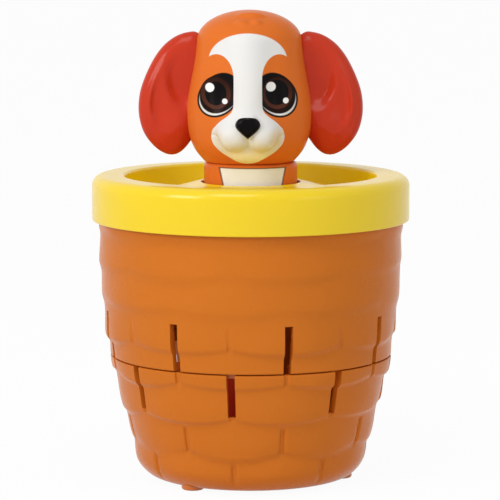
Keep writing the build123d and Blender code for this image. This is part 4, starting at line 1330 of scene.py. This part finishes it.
def head_material(settings):
    """Painted head: eyes, blaze and nose over moulded orange, with painted light on the chin and painted shade about
    the muzzle and along the parting line.
    """
    material, tree, shader = empty_material("puppy_orange_face", mirror=0.06)
    axes = front_spot(tree)
    spot = (axes["X"], axes["Z"])
    finish = plastic_node(tree, opaque(settings.orange), tone=0.05, gloss=0.3, grain=1.0)
    colour = finish.outputs["Colour"]
    facing = ease(tree, axes["Y"], *PAINT_FROM)
    painted = paint_eye(tree, colour, spot, LEFT_EYE, settings)
    painted = paint_eye(tree, painted, spot, RIGHT_EYE, settings)
    # Painted light on the chin: the muzzle's white turns brighter there
    chin = oval(tree, spot, *CHIN_LIGHT, softness=CHIN_LIGHT_SOFT)
    white = blend(tree, chin, opaque(settings.white), opaque(settings.chin))
    painted = blend(tree, blaze_mask(tree, spot), painted, white)
    # Painted shade: tan darkening under the whisker pads and at the corners of the mouth
    shade = 0.0
    for middle, size, strength in MUZZLE_PAINTED_SHADES:
        soft = calc(tree, "MULTIPLY", oval(tree, spot, middle, size, softness=PAINTED_SHADE_SOFT), strength)
        shade = calc(tree, "MAXIMUM", shade, soft)
    painted_shade_colour = blend(tree, shade, WHITE, PAINTED_SHADE_TINT)
    painted = blend(tree, 1.0, painted, painted_shade_colour, "MULTIPLY")
    nose = calc(tree, "MULTIPLY", drawn(tree, spot, NOSE_ROWS, NOSE_SPREAD), ease(tree, axes["Y"], *NOSE_FROM))
    painted = blend(tree, nose, painted, opaque(settings.black))
    # Painted shade along the parting line of the head's halves, for the shadow in their seam
    lean = calc(tree, "MULTIPLY_ADD", axes["X"], -math.tan(math.radians(HEAD_TURN)), axes["Y"])
    parting = ease(tree, calc(tree, "ABSOLUTE", lean), *PARTING, PARTING_STRENGTH, 0.0)
    colour = blend(tree, parting, colour, opaque([PARTING_SHADE * value for value in settings.orange]))
    tree.links.new(blend(tree, facing, colour, painted), shader.inputs["Base Color"])
    gloss = calc(tree, "SUBTRACT", finish.outputs["Roughness"], calc(tree, "MULTIPLY", nose, NOSE_GLOSS))
    tree.links.new(gloss, shader.inputs["Roughness"])
    add_grain(tree, shader, finish, strength=0.3)
    return material


class POPUP_OT_puppy_head(bpy.types.Operator):
    """Make the puppy's sculpted head and paint its face"""

    bl_idname = "popup.puppy_head"
    bl_label = "Puppy Head"

    def execute(self, context):
        directions, faces = cube_sphere(HEAD_CELLS, HEAD_LEAN)
        points = cast_form(head_form, HEAD_CENTRE, directions, HEAD_FAR)
        mesh = new_mesh("puppy_head", turned(points, HEAD_TURN) + np.array(HEAD_SHIFT), faces)
        smooth(mesh, crease=60)
        material = head_material(context.scene.popup_puppy)
        add_piece("puppy_head", mesh, material, "dog", ("dog_head_front", "dog_head_back"))
        return {"FINISHED"}


# Ear outline: sideways reach and height, from the top of the join round the lobe
EAR_OUTLINE = np.array((
    (19.0, 186.0), (22.8, 190.2), (27.0, 190.2), (31.0, 188.9), (34.8, 186.5), (38.0, 183.4), (41.3, 178.7),
    (44.7, 171.8), (47.0, 164.9), (47.7, 158.0), (47.0, 152.2), (45.2, 147.2), (42.2, 143.0), (38.8, 140.0),
    (35.4, 138.4), (32.4, 138.3), (30.0, 139.3), (27.6, 141.4), (25.2, 144.6), (22.6, 148.8), (20.5, 156.0),
    (19.6, 164.0), (18.4, 175.0),
))
EAR_MIDDLE = np.array((33.0, 164.0))
EAR_SETBACK = 1.5
EAR_DEPTH = 5.6
EAR_RINGS = 44
EAR_STEPS = 7
# How full the front and the back of an ear are
EAR_FULL = {-1: 4.5, 1: 3.2}
# Forms on the front of an ear: middle, half size and depth, which is below nothing for the lobe's bulge
EAR_SCOOP = (np.array((27.5, 172.0)), np.array((8.8, 14.5)), 2.8)
EAR_SCOOP_EDGE = (1.12, 0.55)
EAR_SCOOP_FADE = (186.0, 20.0)
EAR_MOUNDS = (((39.5, 159.0), (3.6, 11.0), 1.1), ((30.3, 151.0), (5.5, 6.5), -1.8))
# Ridge along the outer edge: where and how wide across, up and outwards, and its height
EAR_RIDGE_ACROSS = (0.68, 0.08)
EAR_RIDGE_UP = (160.0, 12.0)
EAR_RIDGE_OUT = (31.0, 6.0)
EAR_RIDGE = 1.1
# How suddenly these forms end at the edge
EAR_FADE = 6


def closed_curve(corners, steps):
    """Smooth closed curve through corners."""
    count = len(corners)
    points = []
    for number in range(count):
        before, start, end, after = (corners[(number + shift) % count] for shift in (-1, 0, 1, 2))
        for share in np.arange(steps) / steps:
            points.append(0.5 * (
                2 * start + (end - before) * share
                + (2 * before - 5 * start + 4 * end - after) * share ** 2
                + (3 * start - before - 3 * end + after) * share ** 3
            ))
    return np.array(points)


def bell(value, middle, size):
    """Soft bump about a middle."""
    return np.exp(-((value - middle) / size) ** 2)


def ear_front(spots, share):
    """How far the front of an ear is pressed back at places across and up, on one of its rings."""
    across, upward = spots.T
    middle, size, deep = EAR_SCOOP
    edge, width = EAR_SCOOP_EDGE
    top, fall = EAR_SCOOP_FADE
    scoop = eased(np.clip((edge - np.linalg.norm((spots - middle) / size, axis=1)) / width, 0, 1))
    depth = deep * scoop * np.clip((top - upward) / fall, 0, 1)
    for middle, size, deep in EAR_MOUNDS:
        depth += deep * bell(across, middle[0], size[0]) * bell(upward, middle[1], size[1])
    start, rise = EAR_RIDGE_OUT
    outer = np.clip((across - start) / rise, 0, 1)
    depth -= EAR_RIDGE * outer * bell(share, *EAR_RIDGE_ACROSS) * bell(upward, *EAR_RIDGE_UP)
    return depth * (1 - share ** EAR_FADE)


def ear_points():
    """Points and faces of the right ear: rolled outer edge, scooped upper half and rounded lobe."""
    outline = closed_curve(EAR_OUTLINE, EAR_STEPS)
    count = len(outline)
    points = []
    faces = []
    for side in (-1, 1):
        faces += ring_faces(EAR_RINGS + 1, count, len(points) * count)
        for ring in range(EAR_RINGS + 1):
            share = math.sin(math.pi / 2 * ring / EAR_RINGS)
            spots = EAR_MIDDLE + (outline - EAR_MIDDLE) * share
            thick = EAR_DEPTH * math.sqrt(max(0.0, 1 - share ** EAR_FULL[side]))
            depth = np.full(count, EAR_SETBACK + side * thick)
            if side < 0:
                depth += ear_front(spots, share)
            points.append(np.stack((spots[:, 0], depth, spots[:, 1]), axis=1))
    return np.concatenate(points), faces


class POPUP_OT_puppy_ears(bpy.types.Operator):
    """Make the puppy's two glossy ears"""

    bl_idname = "popup.puppy_ears"
    bl_label = "Puppy Ears"

    def execute(self, context):
        red = context.scene.popup_puppy.red
        material = plastic("ear_red", red, tone=0.06, gloss=0.18, grain=0.3, mirror=0.14)
        points, faces = ear_points()
        for side, node in ((1, "ear_right"), (-1, "ear_left")):
            mesh = new_mesh(node + "_form", points * np.array((side, 1, 1)), faces)
            smooth(mesh, crease=70)
            add_piece(node + "_form", mesh, material, "dog", (node,))
        return {"FINISHED"}


# Bib: its outline on the flat, how deep it lies and how wide its edge is
BIB_TOP = NECK - 1.3
BIB_TOP_HALF = 14.1
BIB_LOW = BIB_TOP - 24.0
BIB_LOW_HALF = 9.0
BIB_DEPTH = 0.5
BIB_EDGE = 0.9
# Brown of the painted shade in the bib's sunken edge
BIB_EDGE_SHADE_BROWN = (0.13, 0.03, 0.008, 1.0)
# Shares of the bib's edge where its dark line of painted shade, for the shadow in the sunken edge, begins and ends, and
# where the bib's colour begins
BIB_SHADE_LINE_OUTER = (0.1, 0.35)
BIB_SHADE_LINE_INNER = (0.9, 0.65)
BIB_SHADE_LINE_STRENGTH = 0.8
BIB_FROM = (0.45, 0.55)
# Rows of the body inside this radius have no bib
BIB_INNERMOST = BODY_RADIUS - BODY_ROUND - 0.1
BODY_COLUMNS = 320
BODY_ROWS = 110
BODY_TOP_RADII = (BODY_BORE, 12.0, 16.0)


def bib_distance(across, height):
    """Distance outside the bib's outline, on the flat."""
    half = BIB_LOW_HALF + (BIB_TOP_HALF - BIB_LOW_HALF) * (height - BIB_LOW) / (BIB_TOP - BIB_LOW)
    return np.maximum(np.abs(across) - half, np.maximum(height - BIB_TOP, BIB_LOW - height))


def body_material(settings):
    """Moulded orange body with its painted bib, and painted shade along the bib's sunken edge."""
    material, tree, shader = empty_material("puppy_orange_body", mirror=0.1)
    finish = moulded(tree, shader, opaque(settings.orange), tone=0.05, gloss=0.3)
    panel = place(tree, "ShaderNodeAttribute", attribute_name="bib").outputs["Fac"]
    # Painted shade: a dark line along the bib's sunken edge
    edge = calc(tree, "MULTIPLY", ease(tree, panel, *BIB_SHADE_LINE_OUTER), ease(tree, panel, *BIB_SHADE_LINE_INNER))
    colour = blend(tree, ease(tree, panel, *BIB_FROM), finish.outputs["Colour"], opaque(settings.cream))
    colour = blend(tree, calc(tree, "MULTIPLY", edge, BIB_SHADE_LINE_STRENGTH), colour, BIB_EDGE_SHADE_BROWN)
    tree.links.new(colour, shader.inputs["Base Color"])
    return material


class POPUP_OT_puppy_body(bpy.types.Operator):
    """Make the puppy's round body with its bib and its two keys"""

    bl_idname = "popup.puppy_body"
    bl_label = "Puppy Body"

    def execute(self, context):
        angles = np.linspace(0, 2 * math.pi, BODY_COLUMNS, endpoint=False)
        across, ahead = np.sin(angles), np.cos(angles)
        aside = BODY_RADIUS * np.sin(angles - math.radians(BIB_TURN))
        on_key = np.abs(BODY_RADIUS * ahead) < KEY_WIDTH / 2
        inner, plug = BODY_RADIUS - BODY_WALL, BODY_LOW + PLUG_DEPTH
        shoulder = arc((BODY_RADIUS - BODY_ROUND, NECK - BODY_ROUND), BODY_ROUND, 0, 90, 8)
        rows = [(radius, NECK) for radius in BODY_TOP_RADII] + shoulder[::-1]
        rows += [(BODY_RADIUS, height) for height in np.linspace(NECK - BODY_ROUND, BODY_LOW, BODY_ROWS)[1:]]
        rows += [(inner, BODY_LOW), (inner, plug), (BODY_BORE, plug), (BODY_BORE, NECK)]
        points = []
        panels = []
        for radius, height in rows:
            panel = np.clip(0.5 - bib_distance(aside, height) / BIB_EDGE, 0, 1)
            panel = panel * (ahead > 0) * (radius > BIB_INNERMOST)
            keys = on_key * (radius == BODY_RADIUS) * (height < KEY_TOP)
            reach = radius + KEY_DEPTH * keys - BIB_DEPTH * eased(panel)
            points.append(np.stack((reach * across, -reach * ahead, np.full(BODY_COLUMNS, height)), axis=1))
            panels.append(panel)
        mesh = raw_mesh("puppy_body", np.concatenate(points), ring_faces(len(rows), BODY_COLUMNS))
        mesh.attributes.new("bib", "FLOAT", "POINT").data.foreach_set("value", np.concatenate(panels))
        mend(mesh)
        smooth(mesh, crease=50)
        material = body_material(context.scene.popup_puppy)
        add_piece("puppy_body", mesh, material, "dog", ("dog_body",))
        return {"FINISHED"}


class POPUP_OT_mechanism(bpy.types.Operator):
    """Give the pieces inside the basket their finishes"""

    bl_idname = "popup.mechanism"
    bl_label = "Mechanism Finishes"

    def execute(self, context):
        settings = context.scene.popup_mechanism
        launcher = plastic("launcher_red", settings.red, gloss=0.42)
        lever = plastic("lever_black", settings.black, tone=0.08, gloss=0.45)
        screws = steel("screw_steel", settings.steel, gloss=0.36)
        coat = plastic("puppy_orange_base", context.scene.popup_puppy.orange, mirror=0.3)
        finishes = {
            launcher: ("launch_tube", "tube_base", "plunger_stem", "plunger_platform"),
            lever: ("trigger_lever",),
            screws: ("basket_screws", "base_screws", "stop_pin", "trigger_pin", "platform_screw", "neck_screw"),
            coat: ("dog_base",),
        }
        for finish, nodes in finishes.items():
            for node in nodes:
                dress(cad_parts[node].data, finish)
        return {"FINISHED"}


# Springs: steps to a turn and sides of the wire
COIL_STEPS = 40
WIRE_SIDES = 12
# Radius of the coil and of the wire, turns, and how much of each end keeps to its seat
LAUNCH_COIL = {"coil": 8.9, "wire": 0.7, "turns": 10.0, "seat": 1.5}
TRIGGER_COIL = {"coil": 2.7, "wire": 0.35, "turns": 7.0, "seat": 3.5}
TRIGGER_COIL_START = 14.2
TRIGGER_COIL_END = 34.5
TRIGGER_COIL_HEIGHT = 60.0


def coil_tree():
    """Coil spring: a round wire wound upwards about the axis, then leant and put in its place."""
    inputs = (
        ("Geometry", "Geometry", None),
        ("Turns", "Float", 8.0),
        ("Coil radius", "Float", 0.003),
        ("Wire radius", "Float", 0.0005),
        ("Length", "Float", 0.02),
        ("Start", "Vector", None),
        ("Lean", "Vector", None),
        ("Finish", "Material", None),
    )
    tree, given, result = new_group("Coil spring", "GeometryNodeTree", inputs, (("Geometry", "Geometry"),))
    rise = calc(tree, "SUBTRACT", given["Length"], calc(tree, "MULTIPLY", given["Wire radius"], 2.0))
    path = place(tree, "GeometryNodeCurveSpiral", {
        "Resolution": COIL_STEPS,
        "Rotations": given["Turns"],
        "Start Radius": given["Coil radius"],
        "End Radius": given["Coil radius"],
        "Height": rise,
    }).outputs[0]
    lift = place(tree, "ShaderNodeCombineXYZ", (0.0, 0.0, given["Wire radius"])).outputs[0]
    path = place(tree, "GeometryNodeTransform", {"Geometry": path, "Translation": lift}).outputs[0]
    values = {"Resolution": WIRE_SIDES, "Radius": given["Wire radius"]}
    section = place(tree, "GeometryNodeCurvePrimitiveCircle", values).outputs[0]
    values = {"Curve": path, "Profile Curve": section, "Fill Caps": True}
    wire = place(tree, "GeometryNodeCurveToMesh", values).outputs[0]
    moved = place(
        tree,
        "GeometryNodeTransform",
        {"Geometry": wire, "Translation": given["Start"], "Rotation": given["Lean"]},
    ).outputs[0]
    return finish_tree(tree, moved, given, result)


def add_spring(name, node, tree, material, size, ends, lean):
    """Show a coil spring between two points, in millimetres, set between the launcher and a moving body."""
    start, end = (Vector(point) * MM for point in ends)
    along = end - start
    mesh = grown(name, bpy.data.meshes.new(name), tree, {
        "Turns": size["turns"],
        "Coil radius": size["coil"] * MM,
        "Wire radius": size["wire"] * MM,
        "Length": along.length,
        "Start": tuple(start),
        "Lean": lean,
        "Finish": material,
    })
    mend(mesh)
    smooth(mesh)
    spring = show(name, mesh)
    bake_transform(spring)
    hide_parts(node)


class POPUP_OT_springs(bpy.types.Operator):
    """Make the two springs, between the pieces that they push"""

    bl_idname = "popup.springs"
    bl_label = "Springs"

    def execute(self, context):
        tree = coil_tree()
        wire = steel("spring_steel", context.scene.popup_mechanism.steel, gloss=0.26)
        turn = math.radians(LOWER_SLOT_ANGLE)
        low, high = (corner.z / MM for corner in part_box("launch_spring"))
        ends = ((0, 0, low), (0, 0, high))
        add_spring("launch_coil", "launch_spring", tree, wire, LAUNCH_COIL, ends, (0.0, 0.0, turn))
        outward = Vector((-math.sin(turn), math.cos(turn), 0))
        level = Vector((0, 0, TRIGGER_COIL_HEIGHT))
        ends = [outward * reach + level for reach in (TRIGGER_COIL_START, TRIGGER_COIL_END)]
        lean = (-math.pi / 2, 0.0, turn)
        add_spring("trigger_coil", "trigger_spring", tree, wire, TRIGGER_COIL, ends, lean)
        return {"FINISHED"}


# Stage, with its places in metres

FLOOR_REACH = 20.0
FLOOR_BRIGHT = 0.95
LAMP_SIZE = 0.5
LAMP_TARGET = (0.0, 0.0, 0.1)
LAMPS = {"key": (-0.95, -0.8, 0.65), "fill": (0.9, -0.9, 0.45), "top": (-0.22, -0.7, 1.1)}
INSIDE_LAMPS = {"left": (-0.034, -0.022, 0.05), "right": (0.034, -0.022, 0.06)}
INSIDE_LAMP_RADIUS = 0.004
SENSOR_WIDTH = 36.0


def seen_share(tree):
    """1 for rays from the camera and for rays that a shiny or clear surface sends on, else 0."""
    path = place(tree, "ShaderNodeLightPath").outputs
    shiny = calc(tree, "MAXIMUM", path["Is Glossy Ray"], path["Is Transmission Ray"])
    return calc(tree, "MAXIMUM", path["Is Camera Ray"], shiny)


def floor_material(settings):
    """Pale floor that shows as near white and keeps the object's shadow."""
    material = bpy.data.materials.new("pale_floor")
    tree = bare_tree(material)
    matt = place(tree, "ShaderNodeBsdfDiffuse", {"Color": opaque(settings.floor)})
    bright = place(tree, "ShaderNodeEmission", {"Color": WHITE, "Strength": 1.0})
    share = calc(tree, "MULTIPLY", seen_share(tree), FLOOR_BRIGHT)
    mixed = place(tree, "ShaderNodeMixShader", (share, matt.outputs[0], bright.outputs[0]))
    place(tree, "ShaderNodeOutputMaterial", {"Surface": mixed.outputs[0]})
    return material


def pale_world(settings):
    """Pale surroundings: white where they are seen, softer as light."""
    world = bpy.data.worlds.new("pale_studio")
    tree = bare_tree(world)
    strength = ease(tree, seen_share(tree), 0.0, 1.0, settings.ambient, 1.0)
    sky = place(tree, "ShaderNodeBackground", {"Color": WHITE, "Strength": strength})
    place(tree, "ShaderNodeOutputWorld", {"Surface": sky.outputs[0]})
    return world


def add_lamp(name, power, spot):
    """Square soft lamp, pointed at the object."""
    light = bpy.data.lights.new(name, "AREA")
    light.energy = power
    light.size = LAMP_SIZE
    lamp = show(name, light)
    lamp.location = spot
    aim = Vector(LAMP_TARGET) - Vector(spot)
    lamp.rotation_euler = aim.to_track_quat("-Z", "Y").to_euler()


def add_inside_lamp(name, power, spot):
    """Small lamp in the basket, for the light that its thin walls let through."""
    light = bpy.data.lights.new(name, "POINT")
    light.energy = power
    light.shadow_soft_size = INSIDE_LAMP_RADIUS
    lamp = show(name, light)
    lamp.location = spot
    lamp.visible_camera = False
    lamp.visible_glossy = False


class POPUP_OT_stage(bpy.types.Operator):
    """Set up the floor, the lamps and the camera"""

    bl_idname = "popup.stage"
    bl_label = "Stage"

    def execute(self, context):
        settings = context.scene.popup_stage
        context.scene.view_settings.view_transform = "Standard"
        mesh = bpy.data.meshes.new("floor")
        corners = [(x * FLOOR_REACH, y * FLOOR_REACH, 0) for x, y in ((-1, -1), (1, -1), (1, 1), (-1, 1))]
        mesh.from_pydata(corners, [], [(0, 1, 2, 3)])
        dress(mesh, floor_material(settings))
        floor = show("floor", mesh)
        context.scene.world = pale_world(settings)
        for name, spot in LAMPS.items():
            add_lamp(name + "_lamp", getattr(settings, name), spot)
        for side, spot in INSIDE_LAMPS.items():
            add_inside_lamp("inside_lamp_" + side, settings.inside, spot)
        camera = show("camera", bpy.data.cameras.new("camera"))
        camera.data.lens = settings.lens
        camera.data.sensor_width = SENSOR_WIDTH
        camera.location = (settings.camera_aside, -settings.camera_distance, settings.camera_height)
        camera.rotation_euler = (math.pi / 2 - settings.camera_tilt, 0, 0)
        context.scene.camera = camera
        return {"FINISHED"}


STEPS = (
    POPUP_OT_basket_shells,
    POPUP_OT_seam_lip,
    POPUP_OT_screw_posts,
    POPUP_OT_basket_feet,
    POPUP_OT_rim_band,
    POPUP_OT_puppy_head,
    POPUP_OT_puppy_ears,
    POPUP_OT_puppy_body,
    POPUP_OT_mechanism,
    POPUP_OT_springs,
    POPUP_OT_stage,
)
SETTINGS = {
    "popup_basket": BasketSettings,
    "popup_puppy": PuppySettings,
    "popup_mechanism": MechanismSettings,
    "popup_stage": StageSettings,
}


class POPUP_PT_panel(bpy.types.Panel):
    """Sizes, colours and steps of the pop-up dog game"""

    bl_idname = "POPUP_PT_panel"
    bl_label = "Pop-up Dog Game"
    bl_space_type = "VIEW_3D"
    bl_region_type = "UI"
    bl_category = "Pop-up"

    def draw(self, context):
        for name in SETTINGS:
            group = getattr(context.scene, name)
            box = self.layout.box()
            for key in group.__annotations__:
                box.prop(group, key)
        for step in STEPS:
            self.layout.operator(step.bl_idname)


def register():
    """Make the settings, steps and panel known to Blender."""
    for kind in (*SETTINGS.values(), *STEPS, POPUP_PT_panel):
        bpy.utils.register_class(kind)
    for name, kind in SETTINGS.items():
        setattr(bpy.types.Scene, name, PointerProperty(type=kind))


def unregister():
    """Take the settings, steps and panel away again."""
    for name in SETTINGS:
        delattr(bpy.types.Scene, name)
    for kind in (POPUP_PT_panel, *reversed(STEPS), *SETTINGS.values()):
        bpy.utils.unregister_class(kind)


def main():
    """Dress the part."""
    register()
    for step in STEPS:
        group, name = step.bl_idname.split(".")
        getattr(getattr(bpy.ops, group), name)()


if __name__ == "__main__":
    main()
